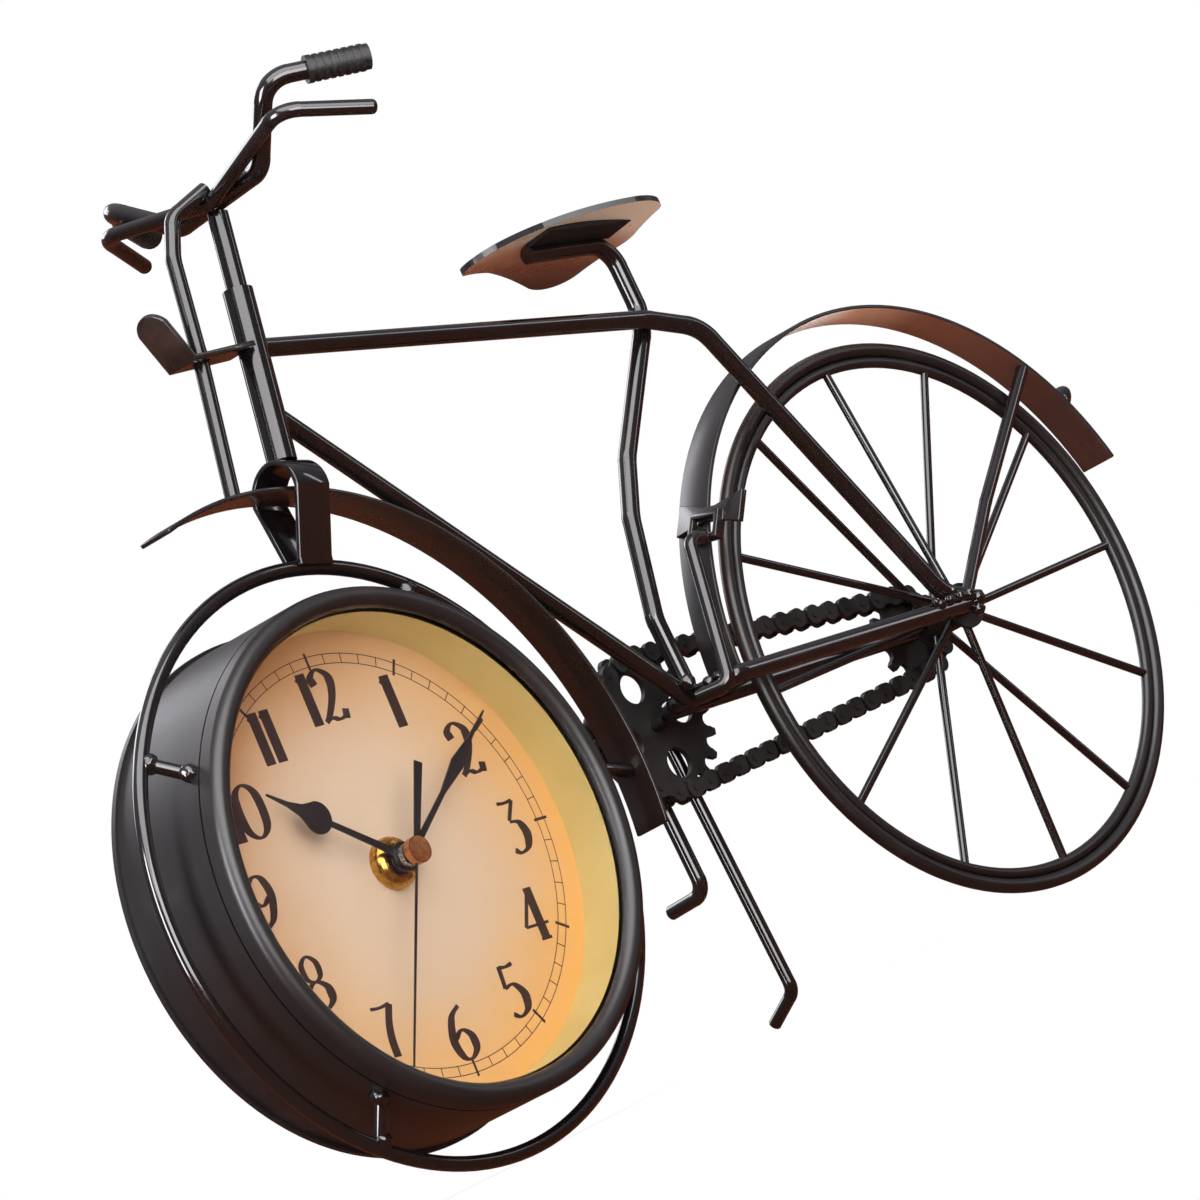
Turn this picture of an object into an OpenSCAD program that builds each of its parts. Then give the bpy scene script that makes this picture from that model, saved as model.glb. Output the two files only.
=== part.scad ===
// Desk clock shaped as a bicycle: a drum clock hangs in the front ring, and the frame is bent iron rod.
// Millimetres. X runs from the clock to the rear wheel, Y away from the dial's side, Z up.
// The origin is on the floor under the centre of the front ring.

/* [Front ring] */
// Centreline radius of the ring that carries the clock
ring_r = 80; // [76:1:96]
// Rod of the front ring
ring_rod = 4; // [3.4:0.1:4.8]
// Gap between the ring's centreline and the drum
ring_gap = 10.7; // [8:0.1:13]
// Diameter of the pins that hold the drum
pin_d = 3.6; // [2.4:0.1:3.7]

/* [Clock drum] */
// How far the drum's band reaches behind the ring
drum_back = 25; // [24:0.5:32]
// How far the band reaches in front of the ring
drum_front = 9.6; // [8:0.2:12]
// Sheet thickness of the drum
drum_sheet = 0.8; // [0.6:0.1:1.2]
// Radius of the rounded rim of the bezel, in section
bezel_round = 2.9; // [2.4:0.1:3.4]
// Thickness of the glass
glass_t = 2; // [1.5:0.1:2.5]
// Depth from the back of the glass to the dial
dial_depth = 14.1; // [12:0.1:15]
// Turn of the dial in its drum, clockwise from upright
dial_turn = 5.8; // [0:0.1:12]

/* [Hands] */
// Hour that the clock shows
hour = 10; // [0:1:11]
// Minute that the clock shows
minute = 9.2; // [0:0.05:59.95]
// Second that the clock shows
second = 35; // [0:1:59]
// Length of the minute hand from the arbor
minute_reach = 52; // [40:1:56]
// Length of the hour hand from the arbor
hour_reach = 44.5; // [34:0.5:46]
// Length of the second hand's thin end
second_reach = 60; // [44:1:61]

/* [Rear wheel] */
// Distance from the ring's centre to the rear hub
wheel_base = 228.2; // [220:0.2:280]
// Centreline radius of the tyre hoop
tyre_r = 77; // [64:0.5:80]
// Rod of the tyre hoop
tyre_rod = 4; // [3.4:0.1:4.6]
// Rod of the rim hoop
rim_rod = 3; // [2.4:0.1:3.4]
// Number of spokes
spoke_count = 12; // [8:2:16]
// Rod of one spoke
spoke_rod = 2.3; // [1.8:0.1:2.8]
// Diameter of the hub barrel
hub_d = 9.4; // [8.6:0.1:11]
// Diameter of the rear axle
axle_d = 4.6; // [4:0.1:5]
// Radial clearance of everything that turns on a shaft
running_gap = 0.06; // [0.03:0.01:0.1]

/* [Head and fork] */
// Rod of the frame's main tubes
tube_d = 5; // [4.2:0.1:5.6]
// Place of the fork's foot on the ring, from the top toward the rear
fork_angle = 15.1; // [10:0.1:20]
// Lean of the steering axis from upright
head_lean = 16.7; // [12:0.1:22]
// Height of the fork strap along the steering axis
fork_h = 28; // [25:0.5:34]
// Width of the flat fork strap
fork_w = 11; // [9:0.5:13]
// Thickness of the flat iron strap
strap_t = 1.5; // [1.2:0.1:2]
// Length of the head tube
head_len = 48; // [42:1:56]
// Rod of the steerer
steerer_d = 5.6; // [5:0.1:6]
// Diameter of the head tube
head_d = 8; // [7.4:0.1:9]
// Length of the steerer above the crown, up to the handlebar
steerer_len = 71; // [66:1:80]

/* [Handlebar] */
// Half width of the bar at its rear-going corners
bar_half = 36; // [30:1:42]
// Tip of the whole bar, near end up
bar_roll = 5.5; // [0:0.5:10]
// Diameter of a grip
grip_d = 6.8; // [6.4:0.1:7.6]
// Length of a grip
grip_len = 17; // [12:0.5:19]
// Rod of the brake lever bar
lever_rod = 4; // [3:0.1:4.4]
// Rod of the front brake
brake_rod = 4.2; // [3.4:0.1:4.4]

/* [Frame] */
// Distance from the rear hub forward to the bottom bracket
stay_len = 102.4; // [100:0.2:112]
// Height of the bottom bracket over the rear hub
bracket_rise = 10.5; // [6:0.5:14]
// Sideways place of the stays at the hub
stay_y = 12; // [11.5:0.5:14]
// Width of a fender strip
fender_w = 12; // [10:0.5:13]
// Sheet thickness of a fender
fender_t = 1.2; // [0.8:0.1:1.6]
// Gap from the ring's centreline to the front fender
front_fender_gap = 18; // [16:0.5:20]
// Gap from the tyre's centreline to the rear fender
rear_fender_gap = 10.5; // [8.5:0.5:11]

/* [Saddle] */
// Length of the saddle
saddle_len = 61; // [54:1:68]
// Width of the saddle across its rear corners
saddle_w = 50; // [42:1:54]
// Radius of the domed saddle sheet
saddle_dome = 130; // [110:2:150]
// Sheet thickness of the saddle
saddle_t = 1.6; // [1:0.1:2]

/* [Drive] */
// Pitch of the roller chain
chain_pitch = 6.35; // [6:0.05:6.6]
// Links in the chain
chain_links = 48; // [46:2:52]
// Teeth on the front sprocket
sprocket_teeth = 19; // [17:1:21]
// Teeth on the rear cog
cog_teeth = 11; // [10:1:12]
// Sideways place of the chain
chain_y = 15.5; // [15:0.1:17]
// Length of the crank arm
crank_len = 45; // [38:1:50]
// Rod of the crank
crank_rod = 4; // [3.4:0.1:4.4]
// Rod of the stand
stand_rod = 3.5; // [3:0.1:4]

/* [Movement] */
// Side of the square movement case
case_w = 56; // [55:0.5:58]
// Depth of the movement case
case_t = 16; // [16:0.1:16.6]
// Diameter of the battery
battery_d = 14.2; // [13.8:0.1:14.4]
// Length of the battery
battery_len = 50; // [49:0.5:50.5]

/* [Hidden] */
$fn = 48;

iron = [0.06, 0.05, 0.05];
hand_black = [0.04, 0.04, 0.05];
wheel_plastic = [0.85, 0.85, 0.8];
// How far a cut reaches past the faces that it goes through
bore_cut = 0.5;

ring_z = ring_r + ring_rod / 2;
drum_r = ring_r - ring_gap;
hub_z = tyre_r + tyre_rod / 2;
rim_r = tyre_r - tyre_rod / 2 - rim_rod / 2;
bracket_x = wheel_base - stay_len;
bracket_z = hub_z + bracket_rise;

// A point on the steering axis, a length up from the fork's foot on the ring
function on_axis(up) = [
    ring_r * sin(fork_angle) + up * sin(head_lean),
    0,
    ring_z + ring_r * cos(fork_angle) + up * cos(head_lean)
];
// A point that lies forward of the steering axis and above a place on it
function off_axis(up, forward, side) =
    on_axis(up) + [-forward * cos(head_lean), side, forward * sin(head_lean)];
// A point placed from the bottom bracket
function from_bracket(x, y, z) = [bracket_x + x, y, bracket_z + z];
// A point placed from the rear hub
function from_hub(x, y, z) = [wheel_base + x, y, hub_z + z];
// A point on a circle round the rear hub, by angle from level toward the front and up
function round_hub(r, angle, y) = from_hub(-r * cos(angle), y, r * sin(angle));
// A point on the front ring's plane, by angle from the top toward the rear
function round_ring(r, angle, y) = [r * sin(angle), y, ring_z + r * cos(angle)];

function unit(v) = v / norm(v);
function turn_at(p, i) = acos(unit(p[i] - p[i - 1]) * unit(p[i + 1] - p[i]));

// Bends are a hair thicker than the straight stretches, which reach a little way into them
bend_swell = 0.05;
bend_lap = 0.2;
function bend_reach(p, i, r) = r * tan(turn_at(p, i) / 2);
function trim_at(p, i, r) = (i == 0 || i == len(p) - 1) ? 0 : bend_reach(p, i, r) - bend_lap;

// Places a child so that its Z axis runs from a to b
module along(a, b) {
    d = b - a;
    translate(a)
        rotate([0, acos(d.z / norm(d)), atan2(d.y, d.x)])
            children();
}

// A straight round rod
module rod(a, b, d) {
    along(a, b) cylinder(d = d, h = norm(b - a));
}

// One bend of a rod, at corner i of a path
module rod_bend(p, i, r, d) {
    before = unit(p[i] - p[i - 1]);
    after = unit(p[i + 1] - p[i]);
    inward = unit(after - before * (before * after));
    start = p[i] - before * bend_reach(p, i, r);
    centre = start + inward * r;
    side = cross(-inward, before);
    multmatrix([
        [-inward.x, before.x, side.x, centre.x],
        [-inward.y, before.y, side.y, centre.y],
        [-inward.z, before.z, side.z, centre.z]
    ])
        rotate_extrude(angle = turn_at(p, i))
            translate([r, 0]) circle(d = d + 2 * bend_swell);
}

// A rod bent through a list of corners
module bent_rod(p, r, d) {
    for (i = [0 : len(p) - 2]) {
        forward = unit(p[i + 1] - p[i]);
        rod(p[i] + forward * trim_at(p, i, r), p[i + 1] - forward * trim_at(p, i + 1, r), d);
    }
    for (i = [1 : len(p) - 2])
        rod_bend(p, i, r, d);
}

// A cap that rounds off a rod's end, a hair thinner than the rod
module rounded_tip(before, end, d, round) {
    steps = 6;
    r = d / 2 - bend_swell;
    along(end, end + unit(end - before)) rotate_extrude() polygon(concat(
        [[0, -bend_lap], [r, -bend_lap]],
        [for (i = [0 : steps]) let (a = 90 * i / steps) [r - round * (1 - cos(a)), round * sin(a)]],
        [[0, round]]
    ));
}

// Turns a child so that its Z axis is the wheels' axis and points away from the dial's side
module across(x, z) {
    translate([x, 0, z]) rotate([-90, 0, 0]) children();
}

// The clock's own frame: X to the right, Y up and Z out of the dial
module clock_frame() {
    translate([0, 0, ring_z]) rotate([90, 0, 0]) children();
}

// A ring of rectangular section in the clock's frame
module flat_ring(r_out, r_in, back, front) {
    translate([0, 0, back]) difference() {
        cylinder(r = r_out, h = front - back);
        translate([0, 0, -bore_cut]) cylinder(r = r_in, h = front - back + 2 * bore_cut);
    }
}

// A hoop of round rod about the wheels' axis
module hoop(r, d) {
    rotate_extrude() translate([r, 0]) circle(d = d);
}

// A curved strip about the wheels' axis, between two angles from level toward the rear and up
module curved_strip(r_mid, from_angle, to_angle, w, t) {
    rotate([90, 0, 0]) rotate([0, 0, from_angle])
        rotate_extrude(angle = to_angle - from_angle)
            translate([r_mid - t / 2, -w / 2]) square([t, w]);
}

// Front ring and the pins that hold the drum

// Each pin's angle at the ring and at the drum, from the top toward the rear
pin_angles = [[-142, -137], [-52, -53.5], [38, 38], [128, 128]];
pin_forward = 7;
// Each pin ends at the ring in a weld bead, a little toward the dial's side
bead_d = pin_d + 1.4;
bead_side = -0.4;

module front_ring() {
    color(iron) across(0, ring_z) hoop(ring_r, ring_rod);
}

module ring_pins() {
    bead_r = ring_r - ring_rod / 2 - pin_d / 6;
    color(iron) for (a = pin_angles)
        difference() {
            union() {
                rod(round_ring(drum_r - pin_d, a[1], -pin_forward), round_ring(ring_r, a[0], 0), pin_d);
                translate(round_ring(bead_r, a[0], bead_side)) sphere(d = bead_d);
            }
            across(0, ring_z) hoop(ring_r, ring_rod);
            across(0, ring_z) translate([0, 0, -2 * pin_forward]) cylinder(r = drum_r, h = 3 * pin_forward);
        }
}

// Fork, head and steerer

crown = fork_h;
head_top = crown + head_len;
bar_up = crown + steerer_len;
arch_r = 8.6;
arch_steps = 12;
strap_mid = ring_rod / 2 + strap_t / 2;

// How far the strap's feet reach down past the ring's centreline
foot_sink = 0.3;

// Half of the arch's outline, from the foot to the crown, at an offset from the strap's middle line
function arch_half(offset) = concat(
    [[strap_mid + offset, -foot_sink]],
    [[strap_mid + offset, ring_rod / 2]],
    [for (i = [0 : arch_steps]) let (a = 90 * i / arch_steps)
        [(arch_r + offset) * cos(a), crown - arch_r + (arch_r + offset) * sin(a)]]
);

function mirrored(points) = [for (i = [len(points) - 1 : -1 : 0]) [-points[i].x, points[i].y]];
function arch_outline(offset) = concat(arch_half(offset), mirrored(arch_half(offset)));

module fork_strap() {
    color(iron) translate(on_axis(0)) rotate([0, head_lean, 0])
        rotate([90, 0, 90]) translate([0, 0, -fork_w / 2]) linear_extrude(fork_w) difference() {
            polygon(arch_outline(strap_t / 2));
            polygon(arch_outline(-strap_t / 2));
        }
}

module head_tube() {
    color(iron) difference() {
        rod(on_axis(crown + strap_t / 2), on_axis(head_top), head_d);
        rod(on_axis(crown - bore_cut), on_axis(head_top + bore_cut), steerer_d);
    }
}

// How far the steerer runs into the bar that is welded on it
bar_sink = 0.8;

module steerer() {
    color(iron) rod(on_axis(crown + strap_t / 2), on_axis(bar_up - tube_d / 2 + bar_sink), steerer_d);
}

// Handlebar, its grips and the brake lever bar

bar_bend = 7.5;
bar_centre = on_axis(bar_up);

// Tips a point of the bar about the bar's middle, so that the near side stands higher
function tipped(p) = bar_centre + [p.x, p.y, p.z - p.y * tan(bar_roll)];

// The bent rod isn't quite even: its middle stretch reaches further to the near side
bar_foot_near = [0, -20.2, 0];
bar_foot_far = [0, 15, 1.6];
bar_rise = 18;
bar_back = 23;
bar_out = 13.3;
bar_drop = 7.2;

// A top corner and an end of the bar: side is -1 for the near end and 1 for the far end
function bar_corner(side) = [0, side * bar_half, bar_rise];
function bar_end(side) = bar_corner(side) + [bar_back, side * bar_out, -bar_drop];

bar_corners = [
    tipped(bar_end(-1)),
    tipped(bar_corner(-1)),
    tipped(bar_foot_near),
    tipped(bar_foot_far),
    tipped(bar_corner(1)),
    tipped(bar_end(1))
];

module handlebar() {
    color(iron) bent_rod(bar_corners, bar_bend, tube_d);
}

// A ribbed sleeve that starts a length short of the bar's end and closes over it
module grip(corner, end) {
    rib_count = 7;
    rib_w = grip_len / (2 * rib_count + 3);
    rib_h = 0.25;
    collar_w = 1.6;
    collar_h = 0.3;
    cap_t = 1;
    along(end + unit(corner - end) * (grip_len - cap_t), end) difference() {
        union() {
            cylinder(d = grip_d, h = grip_len);
            cylinder(d = grip_d + 2 * collar_h, h = collar_w);
            for (i = [1 : rib_count])
                translate([0, 0, (2 * i + 0.4) * rib_w]) cylinder(d = grip_d + 2 * rib_h, h = rib_w);
        }
        translate([0, 0, -bore_cut]) cylinder(d = tube_d, h = grip_len - cap_t + bore_cut);
    }
}

module handlebar_grips() {
    last = len(bar_corners) - 1;
    color([0.05, 0.05, 0.05]) {
        grip(bar_corners[1], bar_corners[0]);
        grip(bar_corners[last - 1], bar_corners[last]);
    }
}

lever_bend = 7.5;
weld_sink = 0.15;
// The lever bar's middle and corners, from the handlebar's middle
lever_middle = [-(tube_d + lever_rod) / 2 + weld_sink, -3.2, 0.9];
lever_near = [-6.1, -41.4, 11.9];
lever_far = [-6.6, 35.2, 7.9];
lever_end = [20, 11, -9.4];

lever_corners = [for (p = [
    lever_near + [lever_end.x, -lever_end.y, lever_end.z],
    lever_near,
    lever_middle,
    lever_far,
    lever_far + lever_end
]) bar_centre + p];

lever_round = 1.2;

module brake_lever_bar() {
    last = len(lever_corners) - 1;
    color(iron) {
        bent_rod(lever_corners, lever_bend, lever_rod);
        rounded_tip(lever_corners[1], lever_corners[0], lever_rod, lever_round);
        rounded_tip(lever_corners[last - 1], lever_corners[last], lever_rod, lever_round);
    }
}

// Front fender, its bridge and the front brake rod

front_fender_r = ring_r + front_fender_gap;
// The fender's arc has its own centre, a little ahead of the ring's
front_fender_centre = [-5, ring_z + 3];
front_fender_from = -14;
front_fender_to = 101;

// A strip along the front fender, by its middle radius and its thickness
module along_front_fender(r_mid, t) {
    translate([front_fender_centre[0], 0, front_fender_centre[1]])
        curved_strip(r_mid, front_fender_from, front_fender_to, fender_w, t);
}

module front_fender() {
    color(iron) along_front_fender(front_fender_r, fender_t);
}

// Depth of the cut that ends a rod on a fender, from the fender's face on
end_cut = 4;
end_cut_middle = (end_cut - fender_t) / 2;

// A point on the outside of the front fender, by angle from level toward the rear and up
function on_front_fender(angle) = [
    front_fender_centre[0] + (front_fender_r + fender_t / 2) * cos(angle),
    0,
    front_fender_centre[1] + (front_fender_r + fender_t / 2) * sin(angle)
];

bridge_angle = -4.5;
bridge_rod = 4;

module front_fender_bridge() {
    outer = on_front_fender(bridge_angle);
    inner = round_ring(ring_r, 90, 0);
    color(iron) difference() {
        rod(inner, outer, bridge_rod);
        across(0, ring_z) hoop(ring_r, ring_rod);
        along_front_fender(front_fender_r + end_cut_middle, end_cut);
    }
}

brake_foot_angle = 83;
brake_foot_sink = 1;
brake_bend = 6;

// The front brake rod hooks over the lever bar's middle and runs down to the fender
front_brake_path = [
    bar_centre + lever_middle + [0.5, 0, lever_rod / 2 + brake_rod / 2 - weld_sink],
    bar_centre + [-16, 0, 1.5],
    off_axis(bar_up - 14.6, 19, 0),
    off_axis(crown + 31, 18.5, 0),
    on_front_fender(brake_foot_angle) - [0, 0, brake_foot_sink]
];

module front_brake_rod() {
    color(iron) difference() {
        bent_rod(front_brake_path, brake_bend, brake_rod);
        along_front_fender(front_fender_r - end_cut_middle, end_cut);
    }
}

// Lamp bracket: a strip with an upturned rounded tab, pierced by the brake rod

bracket_up = crown + 31.5;
bracket_w = 11;
bracket_t = 1.5;
// Corner and tip of the bracket's side view, from the steering axis: forward is negative, up is positive
bracket_root = [-head_d / 2 + 0.3, 0];
bracket_corner = [-25, -4];
bracket_tip = [-34, 9];
tab_round = bracket_w / 2 + 0.3;
brake_hole = brake_rod + 0.6;

function left_of(v) = [-v.y, v.x];

module lamp_bracket() {
    strip = unit(bracket_corner - bracket_root);
    tab = unit(bracket_tip - bracket_corner);
    half = bracket_t / 2;
    mitre = (left_of(strip) + left_of(tab)) * half / (1 + strip * tab);
    round_at = bracket_tip - tab * tab_round;
    color(iron) difference() {
        translate(on_axis(bracket_up)) rotate([0, head_lean, 0]) difference() {
            rotate([90, 0, 0]) translate([0, 0, -bracket_w / 2]) linear_extrude(bracket_w) polygon([
                bracket_root + left_of(strip) * half,
                bracket_corner + mitre,
                bracket_tip + left_of(tab) * half,
                bracket_tip - left_of(tab) * half,
                bracket_corner - mitre,
                bracket_root - left_of(strip) * half
            ]);
            // Rounds the tab's end
            translate([round_at.x, 0, round_at.y]) rotate([0, -atan2(tab.y, tab.x), 0]) difference() {
                translate([0, -bracket_w, -bracket_t]) cube([bracket_w, 2 * bracket_w, 2 * bracket_t]);
                cylinder(r = tab_round, h = 4 * bracket_t, center = true);
            }
        }
        rod(2 * front_brake_path[3] - front_brake_path[4], front_brake_path[4], brake_hole);
        rod(on_axis(crown + 5), on_axis(head_top), head_d);
    }
}

// Main tubes

top_tube_up = crown + 31.5;
down_tube_up = crown + 14.7;
cluster_y = 4.8;

// The top tube passes the near side of the seat tube and bends down to the hub as the near stay
top_tube_path = [
    on_axis(top_tube_up) + [2, 0, 0],
    from_bracket(44.2, -cluster_y, 94.5),
    from_bracket(58.7, -8, 86.6),
    from_hub(-9.3, -stay_y, 4.1),
    from_hub(-2.6, -stay_y, 2.2)
];

module top_tube_and_stay() {
    color(iron) difference() {
        bent_rod(top_tube_path, 12, tube_d);
        rod(on_axis(crown), on_axis(head_top), head_d);
    }
}

module down_tube() {
    color(iron) difference() {
        rod(on_axis(down_tube_up), from_bracket(-1.7, 0, -1.2), tube_d);
        rod(on_axis(crown), on_axis(head_top), head_d);
    }
}

post_front = [19.8, 0, 122.7];
post_corner = [49.7, 0, 117.5];

seat_tube_path = [
    from_bracket(post_front.x, 0, post_front.z),
    from_bracket(post_corner.x, 0, post_corner.z),
    from_bracket(49, 0, 98.4),
    from_bracket(45.9, 0, 91.6),
    from_bracket(18.9, 0, 62.9),
    from_bracket(9.9, 0, 48),
    from_bracket(0.5, 0, 21),
    from_bracket(0, 0, 0)
];

module seat_tube() {
    color(iron) bent_rod(seat_tube_path, 8, tube_d);
}

// Chain stays: one rod bent to a U, whose middle crosses under the tubes' foot

stay_far_y = 10;
stay_path = [
    from_hub(-2, -stay_y, 0),
    from_bracket(5.2, -stay_y - 0.5, -1.5),
    from_bracket(-5.8, stay_far_y, -1.5),
    from_hub(-2, stay_far_y, 0)
];

module chain_stays() {
    color(iron) bent_rod(stay_path, 5, tube_d);
}

// Saddle on its plate

post_tilt = atan2(post_corner.z - post_front.z, post_corner.x - post_front.x);
post_middle = (post_front + post_corner) / 2;

// The saddle rolls and pitches a little on the post; its dome's top stands ahead of the post's middle
saddle_roll = 6.3;
saddle_pitch = 0.8;
dome_forward = 2.1;
// Height of the dome's underside over the post's middle
crown_z = tube_d / 2 + 0.67;

// The saddle's frame: X along the post toward the rear, Z up from the post's centreline
module saddle_frame() {
    translate(from_bracket(post_middle.x, 0, post_middle.z))
        rotate([0, saddle_pitch - post_tilt, 0]) rotate([-saddle_roll, 0, 0]) children();
}

// A ball about the middle of the saddle's dome, in steps small enough for the thin plate under it
dome_steps = 360;

module dome_ball(r) {
    translate([-dome_forward, 0, crown_z - saddle_dome]) sphere(r = r, $fn = dome_steps);
}

// The plate is welded along the near side of the post, and its top follows the saddle
plate_front = -15;
plate_rear = 15.5;
plate_near = -11;
plate_far = -1;
plate_bottom = 1.2;
plate_gap = 0.05;

module saddle_plate() {
    color(iron) saddle_frame() intersection() {
        translate([plate_front, plate_near, plate_bottom])
            cube([plate_rear - plate_front, plate_far - plate_near, saddle_len]);
        dome_ball(saddle_dome - plate_gap);
    }
}

saddle_nose_r = 8;
saddle_waist_r = 13.6;
saddle_corner_r = 9.8;
saddle_tail_r = 14.1;
saddle_shoulder = 13.9;
saddle_front = -37.4;

// The saddle's outline seen from above: a round nose, a waist that widens, and a round tail
module saddle_outline() {
    tail = saddle_front + saddle_len;
    waist = saddle_front + 0.4 * saddle_len;
    half = saddle_w / 2 - saddle_corner_r;
    hull() {
        translate([saddle_front + saddle_nose_r, 0]) circle(r = saddle_nose_r);
        translate([waist, 0]) circle(r = saddle_waist_r);
    }
    hull() {
        translate([waist, 0]) circle(r = saddle_waist_r);
        for (side = [-1, 1])
            translate([tail - saddle_shoulder, side * half]) circle(r = saddle_corner_r);
        translate([tail - saddle_tail_r, 0]) circle(r = saddle_tail_r);
    }
}

module saddle() {
    color([0.3, 0.16, 0.1]) saddle_frame() intersection() {
        translate([0, 0, -saddle_len]) linear_extrude(2 * saddle_len) saddle_outline();
        difference() {
            dome_ball(saddle_dome + saddle_t);
            dome_ball(saddle_dome);
        }
    }
}

// Rear fender and what is on it

rear_fender_r = tyre_r + rear_fender_gap;
rear_fender_from = 13;
rear_fender_to = 176;

// A strip along the rear fender, by its middle radius, its width and its thickness
module along_rear_fender(r_mid, w, t) {
    translate(from_hub(0, 0, 0)) curved_strip(r_mid, rear_fender_from, rear_fender_to, w, t);
}

module rear_fender() {
    color(iron) along_rear_fender(rear_fender_r, fender_w, fender_t);
}

fender_stay_d = 3.5;
fender_stay_angle = 36.8;
fender_stay_bend = 20;

module fender_stay() {
    tip_y = -fender_w / 2 + fender_stay_d / 2;
    path = [
        from_hub(-1, -stay_y, 2.5),
        from_hub(27, -8, 23),
        round_hub(rear_fender_r - fender_t / 2, 180 - fender_stay_angle, tip_y)
    ];
    color(iron) difference() {
        bent_rod(path, fender_stay_bend, fender_stay_d);
        along_rear_fender(rear_fender_r + end_cut_middle, fender_w + end_cut, end_cut);
    }
}

light_angle = 26;
light_d = 8;
light_h = 9;
light_step = 2.4;
light_dome_r = 3.2;

module tail_light() {
    foot = round_hub(rear_fender_r + fender_t / 2, 180 - light_angle, 0);
    tip = round_hub(rear_fender_r + light_h, 180 - light_angle, 0);
    steps = 8;
    color([0.1, 0.05, 0.04]) along(foot, tip) rotate_extrude() polygon(concat(
        [[0, 0], [light_d / 2, 0], [light_d / 2, light_step]],
        [for (i = [0 : steps]) let (a = 90 * i / steps)
            [light_dome_r * cos(a), light_step + (light_h - light_step) * sin(a)]]
    ));
}

plate_angle = 145.3;
brake_plate_y = -8;
brake_plate_len = 26;
brake_plate_end = 9;
brake_plate_waist = 4;
brake_plate_t = 1.2;
// How far the plate is bedded down on the fender's curve
brake_plate_bed = 0.6;
brake_plate_turn = 11;
loop_w = 12;
loop_down = 8;
loop_deep = 3;
loop_bar = 1.6;

// The brake plate's own frame: X up along the fender, Y away from the dial's side, Z out of the fender
module brake_plate_frame() {
    translate(from_hub(0, 0, 0)) rotate([0, 180 - plate_angle, 0])
        translate([-rear_fender_r - fender_t / 2, brake_plate_y, 0]) rotate([0, -90, 0])
            rotate([0, 0, -brake_plate_turn]) children();
}

// A plate across the fender, broad at both ends and narrow between, with a flat loop that hangs from it
module brake_plate() {
    half = brake_plate_len / 2;
    broad = brake_plate_end / 2;
    narrow = brake_plate_waist / 2;
    neck = 2;
    color(iron) difference() {
        brake_plate_frame() {
            translate([0, 0, -brake_plate_bed]) linear_extrude(brake_plate_t + brake_plate_bed) polygon([
                [-broad, -half], [-narrow, -neck], [-narrow, neck], [-broad, half],
                [broad, half], [narrow, neck], [narrow, -neck], [broad, -half]
            ]);
            linear_extrude(loop_deep) difference() {
                translate([-loop_down, -loop_w / 2]) square([loop_down, loop_w]);
                translate([-loop_down + loop_bar, -loop_w / 2 + loop_bar])
                    square([loop_down - 2 * loop_bar, loop_w - 2 * loop_bar]);
            }
        }
        across(wheel_base, hub_z) translate([0, 0, -fender_w / 2])
            cylinder(r = rear_fender_r + fender_t / 2, h = 4 * fender_w);
    }
}

rear_brake_d = 4;
rear_brake_bend = 3.2;

// The brake rod hooks onto the loop, runs down in front of the fender and turns along the U's crossing
module rear_brake_rod() {
    color(iron) bent_rod([
        from_bracket(22.6, -8.6, 35.1),
        from_bracket(17.7, -8, 36.1),
        from_bracket(1, -13.2, -3),
        from_bracket(-3.5, -5, -2.3)
    ], rear_brake_bend, rear_brake_d);
}

// Chain, sprocket and cog

sprocket_r = sprocket_teeth * chain_pitch / (2 * PI);
cog_r = cog_teeth * chain_pitch / (2 * PI);
roller_d = 3.3;
chain_inner_w = 3.2;
link_t = 0.8;
link_gap = 0.1;
link_h = 5.4;
pin_r = 0.9;

// Half of the chain that isn't wrapped on a wheel, for a slope of the runs
function run_length(slope) = (
    chain_links * chain_pitch
    - sprocket_r * PI * (1 + slope / 90)
    - cog_r * PI * (1 - slope / 90)
) / 2;
function slope_after(slope) = asin((sprocket_r - cog_r) / norm([run_length(slope), sprocket_r - cog_r]));
// The slope and the run's length depend on each other, and three rounds from a near guess settle them
slope_guess = 4;
run_slope = slope_after(slope_after(slope_after(slope_guess)));
run_len = run_length(run_slope);
chain_centres = norm([run_len, sprocket_r - cog_r]);
sprocket_rise = 6.9;
sprocket_x = wheel_base - sqrt(chain_centres * chain_centres - sprocket_rise * sprocket_rise);
sprocket_z = hub_z + sprocket_rise;
chain_tilt = asin(sprocket_rise / chain_centres);
cog_wrap = cog_r * PI * (1 - run_slope / 90);
tangent = 90 - run_slope;

function on_circle(r, angle) = [r * cos(angle), r * sin(angle)];
// A point of the chain's path, a length on from the top of the sprocket, with the cog along X
function chain_point(s) =
    s <= run_len
        ? on_circle(sprocket_r, tangent) + s * on_circle(1, tangent - 90)
    : s <= run_len + cog_wrap
        ? [chain_centres, 0] + on_circle(cog_r, tangent - (s - run_len) / cog_r * 180 / PI)
    : s <= 2 * run_len + cog_wrap
        ? [chain_centres, 0] + on_circle(cog_r, -tangent)
            - (s - run_len - cog_wrap) * on_circle(1, 90 - tangent)
    : on_circle(sprocket_r, -tangent - (s - 2 * run_len - cog_wrap) / sprocket_r * 180 / PI);

// The chain's frame: origin at the sprocket, X toward the cog, Z toward the dial's side
module chain_frame() {
    translate([sprocket_x, chain_y, sprocket_z])
        rotate([0, chain_tilt, 0]) rotate([90, 0, 0]) children();
}

module link_plate(length) {
    for (x = [0, length])
        translate([x, 0]) cylinder(d = link_h, h = link_t);
    translate([0, -link_h / 3]) cube([length, 2 * link_h / 3, link_t]);
}

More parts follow.
